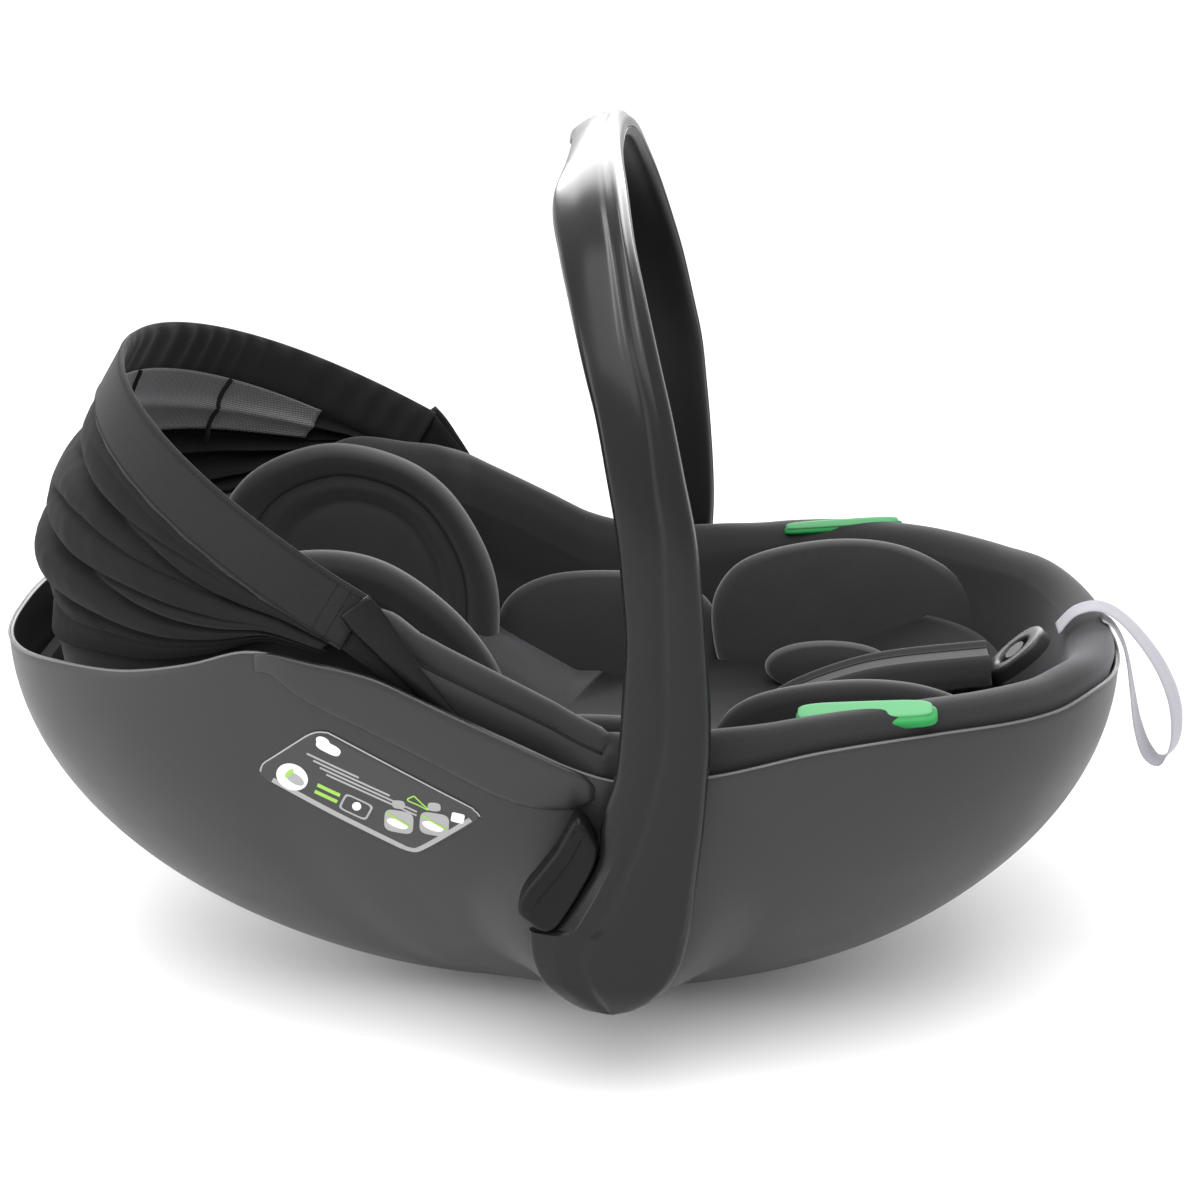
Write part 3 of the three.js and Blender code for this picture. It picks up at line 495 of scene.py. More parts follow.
def build_guards():
    for name, side in SIDES:
        f = np.linspace(0, 1, 90)
        x = lerp(-186, 9.5, f)
        top = rim_top(angle_at(x, 200)) - 0.2 - 7 * np.clip((x + 3) / 12.5, 0, 1)**2
        low = np.minimum(top - 1.2, curve(GUARD_LOW, x) + 6 * np.clip((x + 2) / 11.5, 0, 1)**2)
        ends = np.minimum(1, np.minimum(9 * f, 14 * (1 - f)))**0.6
        across = np.array([0, 0.015, 0.05, 0.11, 0.2, 0.35, 0.6, 0.85, 0.97, 1.0])
        lift = np.array([0.1, 1.6, 2.8, 3.4, 3.6, 3.7, 3.7, 3.6, 3.3, 2.6])
        z = low[:, None] + (top - low)[:, None] * across
        xs = np.repeat(x[:, None], len(across), 1)
        outer = side_point(xs, z, 0.2 + lift[None, :] * (0.1 + 0.9 * ends[:, None]), side)
        inner = side_point(xs, z, -0.6, side)
        make("guard_" + name, Shape().sheet(outer, inner), "shell", stands=["side_guard_" + name])


LABEL_TOP = [(-187, 203), (-184, 208), (-178, 213), (-158, 229), (-152, 232.5), (-148, 233.5), (-144, 233),
             (-138, 230.5), (-66, 192.5), (-62, 190), (-58.5, 187), (-57, 184.5)]
LABEL_LOW = [(-187, 202), (-185.5, 199), (-182, 195.5), (-107, 155.5), (-103, 153.6), (-98, 152.3),
             (-94, 153.2), (-90, 155.5), (-63, 176.5), (-60, 179.3), (-57, 183.5)]


def label_spot(name, centre, half, turn, power, lift, material):
    """Flat oval, or rounded box at a higher power, on the near side of the shell."""
    outline = oval(*centre, *half, turn, 28, power)
    middle = outline.mean(axis=0)
    grid = np.array([middle + (outline - middle) * s for s in (0.02, 0.35, 0.7, 1.0)])
    patch = side_point(grid[..., 0], grid[..., 1], lift, -1)
    make("label_" + name, Shape().grid(patch, wrap=True), material)


def label_strip(name, path, width, lift, material):
    """Flat line of this width through the path's (x, z) points."""
    p = spline(path, 60)
    along = np.gradient(p, axis=0)
    normal = unit(np.stack([-along[:, 1], along[:, 0]], -1))
    grid = np.array([p - normal * width / 2, p + normal * width / 2])
    make("label_" + name, Shape().grid(side_point(grid[..., 0], grid[..., 1], lift, -1)), material)


def oval(cx, cz, a, b, turn=0.0, count=28, power=2.0):
    t = np.linspace(0, 2 * PI, count, endpoint=False)
    e = 2 / power
    u = a * np.sign(np.cos(t)) * np.abs(np.cos(t))**e
    v = b * np.sign(np.sin(t)) * np.abs(np.sin(t))**e
    c, s = math.cos(turn), math.sin(turn)
    return np.stack([cx + u * c - v * s, cz + u * s + v * c], -1)


def build_label():
    """Instruction label with plain marks in place of its lettering and pictures."""
    x = np.linspace(-187, -57, 70)
    low, high = polyline(LABEL_LOW, x), polyline(LABEL_TOP, x)
    z = low[:, None] + (high - low)[:, None] * np.linspace(0, 1, 14)
    xs = np.repeat(x[:, None], 14, 1)
    base = Shape().sheet(side_point(xs, z, 0.55, -1), side_point(xs, z, -0.3, -1))
    make("label_base", base, "film", stands=["side_label"])
    slope = -0.45
    strips = [
        ("line", [(-186, 201.5)] + [(px, pz - 0.9) for px, pz in LABEL_TOP[1:]], 0.9, 0.62, "film_edge"),
        ("band_a", [(-179, 196.5), (-150, 180.6), (-120, 164.6), (-104, 156.2)], 3.6, 0.62, "film_edge"),
        ("band_b", [(-104, 156.2), (-98.5, 154.6), (-93, 156.5), (-76, 170), (-62.5, 181)], 3.2, 0.62,
         "film_edge"),
        ("green_a", [(-152, 196.5), (-146, 193.6), (-139, 190.4)], 2.6, 0.66, "film_green"),
        ("green_b", [(-154, 191.6), (-147, 188.4), (-141, 185.6)], 2.6, 0.66, "film_green"),
        ("triangle", [(-95, 194.5), (-91, 190), (-87, 185.6), (-93, 188.4), (-99, 191.4), (-95, 194.5)],
         0.9, 0.66, "film_green")]
    spots = [
        ("car", (-144, 222.5), (7.5, 3.4), slope, 3, 0.64, "film_pale"),
        ("cabin", (-147, 226.5), (4.2, 3.0), slope, 2, 0.64, "film_pale"),
        ("disc", (-167, 200), (9.5, 9.5), 0, 2, 0.64, "film_pale"),
        ("disc_seat", (-165.5, 199), (6.2, 3.6), -0.6, 2, 0.7, "film_edge"),
        ("disc_mark", (-168.5, 202.5), (4.2, 1.5), 0.9, 2, 0.74, "film_green"),
        ("frame", (-130, 183), (9, 6.5), slope, 6, 0.64, "film_edge"),
        ("frame_in", (-130, 183), (7.8, 5.3), slope, 6, 0.68, "film"),
        ("frame_head", (-129.5, 183.6), (2.6, 3.2), slope, 2, 0.72, "film_pale"),
        ("box", (-70, 181.5), (3.8, 3.4), -0.2, 7, 0.66, "film_pale")]
    for row, length in enumerate((30, 44, 56, 52)):
        cx, cz = -157 + 3.6 * row, 217.5 - 4.4 * row
        path = [(cx + length * k / 3, cz + slope * length * k / 3) for k in range(4)]
        strips.append((f"rule_{row}", path, 1.3, 0.64, "film_edge"))
    for k, (cx, cz) in enumerate(((-105, 180), (-84, 180.5))):
        spots += [(f"seat_{k}", (cx, cz - 5), (8.6, 8.2), -0.1, 4, 0.64, "film_edge"),
                  (f"seat_top_{k}", (cx + 0.5, cz + 7.5), (3.8, 3.0), 0, 3, 0.64, "film_edge"),
                  (f"seat_white_{k}", (cx - 1, cz - 6.5), (6.4, 3.0), -0.35, 2, 0.7, "film_pale")]
        path = [(cx - 7, cz + 1), (cx - 1, cz - 3), (cx + 7, cz - 8)]
        strips.append((f"seat_belt_{k}", path, 1.3, 0.76, "film_green"))
    for strip in strips:
        label_strip(*strip)
    for spot in spots:
        label_spot(*spot)


# ---------- handle ----------
def handle_stations():
    low = 70.2 + 53 * (1 - np.cos(np.linspace(0, PI / 2, 26)))
    zs = np.concatenate([low[:-1], [123.2, 125.2], np.linspace(129, SPRING_Z, 52)])
    arm = [(ARM_Y, z, 1.0, 0.0, 0.3 + 0.7 * float(ramp(69, 92, z))**0.6) for z in zs]
    arch = []
    for angle in np.linspace(0, PI / 2, 61)[1:]:
        e = 2 / ARCH_POWER
        c, s = max(0.0, math.cos(angle))**e, math.sin(angle)**e
        n = np.array([c**(ARCH_POWER - 1) / ARM_Y, s**(ARCH_POWER - 1) / ARCH_RISE])
        n /= np.linalg.norm(n)
        arch.append((ARM_Y * c, SPRING_Z + ARCH_RISE * s, n[0], n[1], lerp(1, 0.86, s)))
    half = arm + arch
    return half + [(-y, z, -a, b, size) for y, z, a, b, size in half[-2::-1]]


# how far the rear of the section drops at the top of the arch
CROWN_DROP = 9.0


def handle_rings(section, seat, count):
    """Rings of a section of (place from rear to front, height) points; seat is the height that stays put."""
    rings = []
    for y, z, ny, nz, size in handle_stations():
        height = min(z, 541.9)
        rear = float(curve(ARM_REAR_LOW, height) if height < 124 else curve(ARM_REAR, height))
        front = float(curve(ARM_FRONT, height))
        ridge = min(0.8, max(0.3, (float(curve(ARM_RIDGE, height)) - rear) / (front - rear)))
        pts = spline([(f(ridge) if callable(f) else f, n) for f, n in section], count, closed=True)
        crown = CROWN_DROP * max(0.0, nz)**2 * np.clip(1 - pts[:, 0] / ridge, 0, 1)**1.5
        out = seat + (pts[:, 1] - seat) * size - crown
        rings.append(np.stack([lerp(rear, front, pts[:, 0]), y + ny * out, z + nz * out], -1))
    return np.array(rings)


def build_handle():
    outer = [(0.015, -2.7), (0.0, 0.2), (0.015, 2.6), (0.07, 4.8), (lambda r: 0.45 * r, 7.2),
             (lambda r: r - 0.15, 7.7), (lambda r: r - 0.05, 6.9), (lambda r: r - 0.01, 6.5),
             (lambda r: r + 0.03, 7.3), (lambda r: r + 0.10, 8.6), (lambda r: lerp(r, 1, 0.5), 8.4),
             (0.90, 6.3), (0.97, 3.7), (1.0, 0.4), (0.985, -2.7), (0.75, -2.75), (0.5, -2.75), (0.25, -2.75)]
    make("handle_shell", Shape().rings(handle_rings(outer, -2.8, 84)), "handle", body="handle",
         stands=["handle_outer"], sharp=52)
    inner = [(0.985, -2.9), (0.992, -4.6), (0.97, -7.2), (0.92, -8.9), (0.84, -9.4), (0.68, -8.6),
             (0.5, -8.0),
             (0.32, -8.6), (0.16, -9.4), (0.08, -8.9), (0.03, -7.2), (0.008, -4.6), (0.015, -2.9),
             (0.3, -2.85),
             (0.7, -2.85)]
    make("handle_lining", Shape().rings(handle_rings(inner, -3.1, 64)), "handle_in", body="handle",
         stands=["handle_inner"])


def build_paddles():
    paddle = [(0, 196), (5, 192.5), (8, 187), (11.6, 178), (9.6, 166), (0.8, 148), (-8, 133), (-13, 127),
              (-19, 125.2),
              (-27, 130), (-33, 136), (-33, 143), (-29.5, 151), (-22, 161), (-12, 175), (-4.5, 189.5)]
    outline = spline(paddle, 120, closed=True)
    middle = np.array([-10.0, 160.0])
    tangent = np.roll(outline, -1, 0) - np.roll(outline, 1, 0)
    normal = unit(np.stack([tangent[:, 1], -tangent[:, 0]], -1))
    normal *= np.sign(((outline - middle) * normal).sum(1).mean())
    lean = np.clip(normal @ np.array([-0.82, 0.57]), 0, 1)**0.7
    for name, side in SIDES:
        rings = []
        for depth, inset, wide in ((213, 0, 0), (225.5, 0, 0), (227.2, 0.3, 0), (228.4, 0.9, 1.4),
                                   (229.3, 1.9, 3.4),
                                   (229.8, 3.2, 4.2), (229.9, 5.0, 4.6)):
            p = outline - normal * (inset + lean * wide)[:, None]
            rings.append(np.stack([p[:, 0], np.full(len(p), side * depth), p[:, 1]], -1))
        p = middle + (outline - middle) * 0.3
        rings.append(np.stack([p[:, 0], np.full(len(p), side * 229.4), p[:, 1]], -1))
        make("paddle_" + name, Shape().rings(np.array(rings)), "black", body="release_" + name,
             stands=["release_button_" + name])


# ---------- cover, insert and pads ----------
def insert_top(x, y):
    half = 165 * np.maximum(0.02, 1 - np.abs(np.asarray(x) / 330)**3)**0.5
    return curve(SEAT_LINE, x) + 26 * np.minimum(1.1, np.abs(y) / half)**2.4


def roll_ring(spread, rise, below, angles):
    """Ring of the padded roll: spread inwards of its edge, at a share of its rise, or below the rim."""
    x = rim_point(angles, 0)[0]
    inset = polyline(ROLL_INSET, x) + spread
    if below > 0:
        return hull_at(angles, inset, rim_top(angles) - below)
    px, py = rim_point(angles, inset)
    return np.stack([px, py, rim_top(angles) + rise * curve(ROLL_RISE, x)], -1)


SINGLE = [(1.4, 0, 33), (1.3, 0, 18), (1.0, 0, 6), (-0.6, 0.18, 0), (-1.0, 0.42, 0), (0.0, 0.66, 0),
          (2.4, 0.84, 0),
          (6, 0.97, 0), (10.5, 1.0, 0), (15.5, 0.92, 0), (20, 0.72, 0), (23.8, 0.4, 0), (25.8, 0.1, 0),
          (26.6, 0, 8)]
DOUBLE = [(1.4, 0, 33), (1.3, 0, 18), (0.6, 0, 6), (-2.6, 0.10, 0), (-3.4, 0.26, 0), (-2.2, 0.42, 0),
          (2.6, 0.50, 0),
          (1.8, 0.66, 0), (3.6, 0.88, 0), (9.0, 1.02, 0), (15.5, 0.96, 0), (20.5, 0.74, 0), (24.4, 0.4, 0),
          (26.6, 0, 8)]


def build_cover():
    angles = even_angles(420)
    x = rim_point(angles, 0)[0]
    mix = (ramp(-168, -120, x) * ramp(18.5, 14.5, x))[:, None]
    rings = []
    for one, two in zip(SINGLE, DOUBLE):
        rings.append(lerp(roll_ring(*one, angles), roll_ring(*two, angles), mix))
    rows = 74
    rings = resample(np.array(rings), rows)
    dents = ripple(x[None, :] / 22, np.linspace(0, 5, rows)[:, None] + rings[..., 1] / 60, 4) * 0.55
    rings[..., 2] += dents * ramp(20, 40, np.arange(rows))[:, None]
    pinch = np.exp(-((x - 16.5) / 1.6)**2) * 2.2
    rings[20:66, :, 2] -= pinch[None]
    inside = hull_rings(angles, COVER_IN, 40, 16, 0.35, 1.0)[::-1]
    skin = Shape().grid(np.concatenate([rings, inside]), wrap=True)
    make("cover", skin, "cover", stands=["seat_cover"])
    fold = roll_ring(2.2, 0.50, 0, angles)
    for name, side in SIDES:
        path = fold[(x > -128) & (x < 16) & (np.sign(fold[:, 1]) == side)]
        tube("cover_piping_" + name, path[np.argsort(path[:, 0])], 0.9, "seam")


def tube(name, path, radius, material, body="carrier"):
    p = np.asarray(path, float)
    along = np.gradient(p, axis=0)
    along /= np.linalg.norm(along, axis=1)[:, None]
    side = np.cross(along, np.array([0.13, 0.21, 0.97]))
    side /= np.linalg.norm(side, axis=1)[:, None]
    up = np.cross(side, along)
    turns = np.linspace(0, 2 * PI, 8, endpoint=False)
    rings = np.array([[p[i] + radius * (math.cos(t) * side[i] + math.sin(t) * up[i]) for t in turns]
                      for i in range(len(p))])
    return make(name, Shape().rings(rings), material, body=body)


def build_insert():
    angles = even_angles(220)
    rim = hull_rings(angles, SEAT_OUT, 75, 2, 0.6, 1.0)[-1]
    rows = []
    for s in np.linspace(1.0, 0.03, 44):
        x, y = rim[:, 0] * s, rim[:, 1] * s
        height = np.maximum(insert_top(x, y), 40)
        if s > 0.985:
            height = np.maximum(rim[:, 2] + 1, np.minimum(height, rim[:, 2] + 12))
        rows.append(np.stack([x, y, height + ripple(x / 30, y / 26, 9) * 0.8], -1))
    # The insert's darker cloth is painted shade on the seat bottom.
    make("insert", Shape().rings(np.array(rows)), "insert", stands=["seat_insert"])
    for name, side in SIDES:
        xs = np.linspace(-120, 110, 70)
        ys = side * (62 + 6 * np.sin(xs / 60))
        tube("insert_seam_" + name, np.stack([xs, ys, insert_top(xs, ys) + 0.3], -1), 0.7, "seam")
    # The belt slot is drawn as a dark strip of seam cloth: painted shade in place of the open gap.
    xs = np.linspace(-32, 3, 20)
    edges = []
    for y in (SLOT_Y - SLOT_HALF, SLOT_Y + SLOT_HALF):
        edges.append(np.stack([xs, np.full(20, y), insert_top(xs, y) + 1.6], -1))
    make("belt_slot_shade", Shape().grid(np.array(edges)), "seam")


def pad(name, centre, outline, profile, tilt, side, stands=(), seed=1, seam=None):
    """Stuffed panel. outline is in the (x, z) plane round the centre; profile gives the half-thickness
    from the middle (0) to the edge (1). It leans outwards by tilt degrees on that side."""
    flat = spline(outline, 150, closed=True)
    steps = np.concatenate([np.linspace(0.02, 0.9, 26), 1 - 0.1 * np.cos(np.linspace(0, PI / 2, 12))[1:]])
    edge = np.clip((1.0005 - steps) / 0.1, 0, 1)
    thick = curve(profile, steps) * np.sqrt(edge * (2 - edge))
    c, s = math.cos(math.radians(tilt)), math.sin(math.radians(tilt))
    front = [(k, 1.0) for k in range(len(steps))]
    back = [(k, -0.55) for k in range(len(steps) - 2, -1, -1)]
    rings = []
    for k, face in front + back:
        u, v = flat[:, 0] * steps[k], flat[:, 1] * steps[k]
        w = face * thick[k]
        if face > 0:
            w = w + ripple(u / 16, v / 14, seed) * 0.6 * (1 - steps[k]**4)
        rings.append(np.stack([centre[0] + u, side * (centre[1] - w * c + v * s), centre[2] + v * c + w * s],
                              -1))
    if seam:
        ring = rings[int(np.argmin(np.abs(steps - seam)))]
        tube(name + "_piping", np.concatenate([ring, ring[:1]]), 0.8, "seam")
    make(name, Shape().rings(np.array(rings)), "pad", stands=stands)


def round_outline(a, b, power):
    return oval(0, 0, a, b, 0, 20, power)


WING_FAR = [(-103, -10), (-99, 32), (-74, 66), (-27, 84), (20, 77), (56, 54), (82, 12), (90, -28), (82, -66),
            (40, -84), (-10, -86), (-64, -78), (-96, -50)]
WING_NEAR = [(-103, -10), (-99, 36), (-70, 70), (-20, 86), (20, 87), (52, 74), (85, 44), (107, 8),
             (113, -26), (100, -64),
             (50, -84), (-10, -86), (-64, -78), (-96, -50)]
WING_PROFILE = [(0, 6.0), (0.3, 5.6), (0.48, 4.6), (0.555, 2.4), (0.585, 4.6), (0.65, 8.2), (0.71, 8.0),
                (0.745, 6.2),
                (0.77, 8.2), (0.82, 12.2), (0.89, 14.4), (0.94, 14.4), (1.0, 12.5)]
PLAIN_PROFILE = [(0, 16), (0.4, 15.2), (0.7, 13.2), (0.88, 10.4), (1.0, 7.5)]
THIGH_PROFILE = [(0, 14), (0.5, 13), (0.85, 10), (1, 8)]
LEG_OUTLINE = [(-91, -10), (-88, 18), (-66, 40), (-14, 52), (34, 49), (72, 30), (90, 4), (91, -20), (76, -44),
               (30, -54), (-40, -54), (-80, -40)]


def build_pads():
    pad("wing_far", (-158, 108, 228), WING_FAR, WING_PROFILE, 9, 1, ["head_hugger"], seed=3, seam=0.745)
    pad("wing_near", (-158, 106, 228), WING_NEAR, WING_PROFILE, 9, -1, seed=5, seam=0.745)
    make("head_back", cushion((-244, 0, 226), (22, 104, 44), 2.8), "pad")
    make("pillow", cushion((-160, 0, 182), (62, 74, 26), 2.5), "pad", stands=["head_pillow"])
    for name, side in SIDES:
        pad("bolster_" + name, (4, 124, 176), round_outline(76, 45, 2.5), PLAIN_PROFILE, 14, side,
            ["side_bolster_" + name], seed=7)
        pad("leg_" + name, (166, 120, 194), LEG_OUTLINE, PLAIN_PROFILE, 16, side, ["leg_pad_" + name],
            seed=11 + side)
        pad("thigh_" + name, (152, 62, 180), round_outline(42, 17, 2.1), THIGH_PROFILE, 8, side,
            ["thigh_pad_" + name], seed=15)


def cushion(centre, half, power, turn=(0, 0)):
    """Rounded box; turn is its angle about Y, then about X, given as (about X, about Y) in degrees."""
    e = 2 / power
    lat = np.linspace(-0.495 * PI, 0.495 * PI, 36)[:, None]
    lon = np.linspace(0, 2 * PI, 72, endpoint=False)[None]

    def fold(v):
        return np.sign(v) * np.abs(v)**e

    p = np.stack([half[0] * fold(np.cos(lat)) * fold(np.cos(lon)),
                  half[1] * fold(np.cos(lat)) * fold(np.sin(lon)),
                  half[2] * fold(np.sin(lat)) + 0 * lon], -1)
    cx, sx = math.cos(math.radians(turn[0])), math.sin(math.radians(turn[0]))
    cy, sy = math.cos(math.radians(turn[1])), math.sin(math.radians(turn[1]))
    about_x = np.array([[1, 0, 0], [0, cx, -sx], [0, sx, cx]])
    about_y = np.array([[cy, 0, sy], [0, 1, 0], [-sy, 0, cy]])
    return Shape().rings(p @ about_y.T @ about_x.T + np.array(centre, float))


# ---------- harness, adjuster, straps ----------
def ribbon(path, across, width, thick, count, edge=0.8):
    """Closed band with softened edges. across is one vector or one per control point."""
    p = spline(path, count)
    along = unit(np.gradient(p, axis=0))
    side = np.asarray(across, float)
    side = np.repeat(side[None], count, 0) if side.ndim == 1 else spline(side, count)
    side = unit(side - along * (side * along).sum(1)[:, None])
    normal = np.cross(along, side)
    u = np.array([-1, -edge, -0.4, 0, 0.4, edge, 1, 1, edge, 0.4, 0, -0.4, -edge, -1])
    v = np.array([0.25, 1, 1, 1, 1, 1, 0.25, -0.25, -1, -1, -1, -1, -1, -0.25])
    rings = (p[:, None] + side[:, None] * (u * width / 2)[None, :, None]
             + normal[:, None] * (v * thick / 2)[None, :, None])
    return Shape().rings(rings), p


def above(x, y, lift):
    return (x, y, float(insert_top(x, y)) + lift)


def web(name, path, across, size, count, material, stands, edge=0.8):
    """Strap through its control points; size is its width and thickness."""
    shape, _ = ribbon(path, across, *size, count, edge)
    make(name, shape, material, stands=[stands])


def build_harness():
    for name, side in SIDES:
        path = [above(-92, side * 34, 7), above(-50, side * 33, 9), above(0, side * 26, 9),
                above(44, side * 17, 10)]
        web("shoulder_web_" + name, path, (0, 1, 0), (22, 1.6), 40, "web", "shoulder_strap_" + name)
        path = [above(-76, side * 33.8, 14.5), above(-50, side * 32.6, 15.5), above(-20, side * 29, 15.5),
                above(8, side * 25, 15.5)]
        web("shoulder_cushion_" + name, path, (0, 1, 0), (34, 7.6), 40, "pad", "shoulder_pad_" + name,
            edge=0.86)
        path = [above(30, side * 96, 7), above(44, side * 78, 7), above(58, side * 52, 8),
                above(68, side * 31, 11)]
        web("hip_web_" + name, path, (1, 0, 0), (22, 1.6), 40, "web", "hip_strap_" + name)
    path = [above(112, 0, 2.2), above(106, 0, 4.4), above(BUCKLE_X + 22.5, 0, 8.5)]
    web("crotch_web", path, (0, 1, 0), (22, 1.8), 16, "pale", "crotch_strap")
    for name in ("buckle_body", "buckle_tongue_left", "buckle_tongue_right"):
        soften(name, "black", 0.8)
    soften("buckle_button", "red", 0.6)
    soften("adjuster_button", "trim", 0.6)


def soften(node, material, width):
    """Carried-over CAD node with its own finish and small rounded edges."""
    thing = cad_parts[node]
    dress(thing, material)
    edge = thing.modifiers.new("edge", "BEVEL")
    edge.width = width * MM
    edge.segments = 2
    edge.limit_method = "ANGLE"
    edge.angle_limit = math.radians(35)
    thing.data.polygons.foreach_set("use_smooth", [True] * len(thing.data.polygons))
    thing.data.set_sharp_from_angle(angle=math.radians(45))


def build_channel():
    path = spline([(100, 158), (112, 165), (131, 179), (163, 192.5), (194, 200), (250, 207)], 70)
    along = unit(np.gradient(path, axis=0))
    normal = np.stack([-along[:, 1], along[:, 0]], -1)
    v = np.linspace(-1, 1, 29)
    off = np.abs(v)
    lift = 8.2 + 3.0 * np.exp(-((off - 0.66) / 0.17)**2) - 8.5 * np.clip((off - 0.86) / 0.14, 0, 1)**2
    half = lerp(17.5, 19.5, ramp(100, 220, path[:, 0]))
    top = np.stack([path[:, None, 0] + normal[:, None, 0] * lift, half[:, None] * v,
                    path[:, None, 1] + normal[:, None, 1] * lift], -1)
    low = top.copy()
    low[..., 0] = path[:, None, 0] - normal[:, None, 0] * 7
    low[..., 2] = path[:, None, 1] - normal[:, None, 1] * 7
    make("channel", Shape().sheet(top, low), "pad", stands=["channel_cover"])
    for side in (-1, 1):
        ridge = np.stack([path[:, 0] + normal[:, 0] * 8.4, side * half * 0.36,
                          path[:, 1] + normal[:, 1] * 8.4], -1)
        tube("channel_seam_" + ("left" if side > 0 else "right"), ridge, 0.5, "seam")


def build_bezel():
    tilt = math.atan2(40, 44)
    t = np.linspace(0, 2 * PI, 72, endpoint=False)
    shape = np.stack([24 * np.cos(t) * (1 - 0.16 * np.cos(t)), 17 * np.sin(t)], -1)
    hole = np.stack([-3 + 11.5 * np.cos(t), 8.5 * np.sin(t)], -1)
    rings = []
    for f, height in ((0.0, -1.6), (0.0, 5.2), (0.03, 6.8), (0.12, 7.7), (0.3, 8.0), (0.72, 8.0), (0.9, 7.7),
                      (1.0, 6.6),
                      (1.0, -1.0)):
        q = lerp(shape, hole, f)
        rings.append(np.stack([272 + q[:, 0] * math.cos(tilt) - height * math.sin(tilt), q[:, 1],
                               213 + q[:, 0] * math.sin(tilt) + height * math.cos(tilt)], -1))
    make("bezel", Shape().rings(np.array(rings)), "trim", stands=["adjuster_bezel"], sharp=50)


def build_pull_strap():
    path = [(292, 0, 231.5), (302, 0, 243.2), (316, 0, 247.0), (329, 0, 241.5), (343, 0, 228), (357, 0, 209),
            (367, 0, 188), (371, 0, 168), (369.5, 0, 152), (362, 0, 144), (353, 0, 150), (346, 0, 168),
            (341.5, 0, 190),
            (338, 0, 208), (334, 0, 222), (327, 0, 234.5), (319, 0, 240.2)]
    side = [(0, 1, 0)] * 3 + [(0.1, 1, 0), (0.25, 1, 0.1), (0.4, 1, 0.1), (0.5, 1, 0.1), (0.55, 1, 0.1),
                              (0.55, 1, 0),
            (0.5, 1, 0), (0.5, 1, 0), (0.5, 1, 0), (0.4, 1, 0), (0.25, 1, 0), (0.1, 1, 0), (0, 1, 0),
                              (0, 1, 0)]
    shape, centre = ribbon(path, side, 20, 1.1, 130)
    strap = make("strap_loop", shape, "pale", stands=["pull_strap"])


def build_guides():
    for name, side in SIDES:
        base = cushion((164, side * 174, 239.0), (40.5, 7.6, 3.6), 4.5, (-side * 28, -4.5))
        make("guide_base_" + name, base, "green", stands=["belt_guide_" + name])
        # The cap carries the paler green: painted light on the top of the guide.
        cap = cushion((163, side * 172.9, 242.4), (38.5, 6.2, 3.0), 4.5, (-side * 28, -4.5))
        make("guide_lit_cap_" + name, cap, "green_lit_top")


def build_rear_guide():
    f = np.linspace(-1, 1, 41)
    grid_y = 34 * f
    zs = np.linspace(143, 176, 13)
    low, high = np.full((41, 13), PI / 2), np.full((41, 13), PI)
    y, z = np.meshgrid(np.abs(grid_y), zs, indexing="ij")
    for _ in range(36):
        middle = (low + high) / 2
        wide = hull_at(middle, 0, z)[..., 1] > y
        low, high = np.where(wide, middle, low), np.where(wide, high, middle)
    x = hull_at(low, 0, z)[..., 0]
    ends = np.minimum(1, (1 - np.abs(f)) * 7)[:, None]
    edge = np.minimum(ends, np.minimum(1, 3.5 * (1 - np.abs((z - 159.5) / 16.5))))
    lift = 0.3 + 5.2 * np.clip(edge, 0, 1)**0.5
    signed = np.repeat(grid_y[:, None], 13, 1)
    outer = np.stack([x - lift * 0.8, signed, z - lift * 0.6], -1)
    inner = np.stack([x + 0.8, signed, z + 0.4], -1)
    make("guide_rear", Shape().sheet(outer, inner), "green", stands=["rear_belt_guide"])


# ---------- canopy ----------
bow_axis = np.array([BOW_TOP[0] - BOW_FOOT[0], BOW_TOP[1] - BOW_FOOT[1]])
bow_length = float(np.linalg.norm(bow_axis))
HEM_X, HEM_Z = bow_axis[1] / bow_length, -bow_axis[0] / bow_length


def bow_point(t, across, out):
    """Point of the bow at angle t (right end -90 degrees, top 0, left end 90), moved across the hem and out."""
    c, s = np.cos(t), np.sin(t)
    n = unit(np.stack(np.broadcast_arrays(BOW_Y * c, bow_length * s), -1))
    along = bow_length * c + out * n[..., 0]
    return np.stack([BOW_FOOT[0] + bow_axis[0] / bow_length * along + HEM_X * across,
                     BOW_Y * s + out * n[..., 1] + 0 * along,
                     BOW_FOOT[1] + bow_axis[1] / bow_length * along + HEM_Z * across], -1)


def stretch(thing):
    """Bakes the cloth's placement into its mesh; the cloth is attached to no body and does not follow the bow.
    """
    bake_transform(thing)


CANOPY_ARM, CANOPY_ARM_Y = 108.0, 195.7
BOW_END = math.radians(86)
GATHER = math.radians(84)
# how far the bunched cloth stands out on its way down from the hem (0) to the rim (1)
BELLY = [(0, 0), (0.05, 4.5), (0.12, 8.0), (0.20, 8.5), (0.31, 14.5), (0.44, 18.5), (0.56, 20.5),
         (0.66, 20.0),
         (0.75, 15.0), (0.83, 8.0), (0.91, 3.5), (1, 0)]
# creases: height at the back, drift per radian to the near and far side, depth, width,
# near and far end (degrees)
CREASES = [(0.17, 0.09, 0.03, 10.5, 0.035, -90, 90), (0.41, -0.10, -0.05, 7.0, 0.022, -80, -18),
           (0.47, 0.13, 0.04, 12.5, 0.032, -90, 90), (0.34, 0.02, 0.05, 5.0, 0.03, 12, 80),
           (0.74, 0.05, -0.04, 11.5, 0.03, -90, 90), (0.57, -0.07, 0.02, 7.5, 0.02, -66, -8),
           (0.86, 0.02, -0.03, 5.0, 0.02, -86, 60), (0.10, -0.03, 0.0, 3.5, 0.018, -78, -30),
           (0.28, -0.13, 0.0, 5.0, 0.02, -60, -10)]


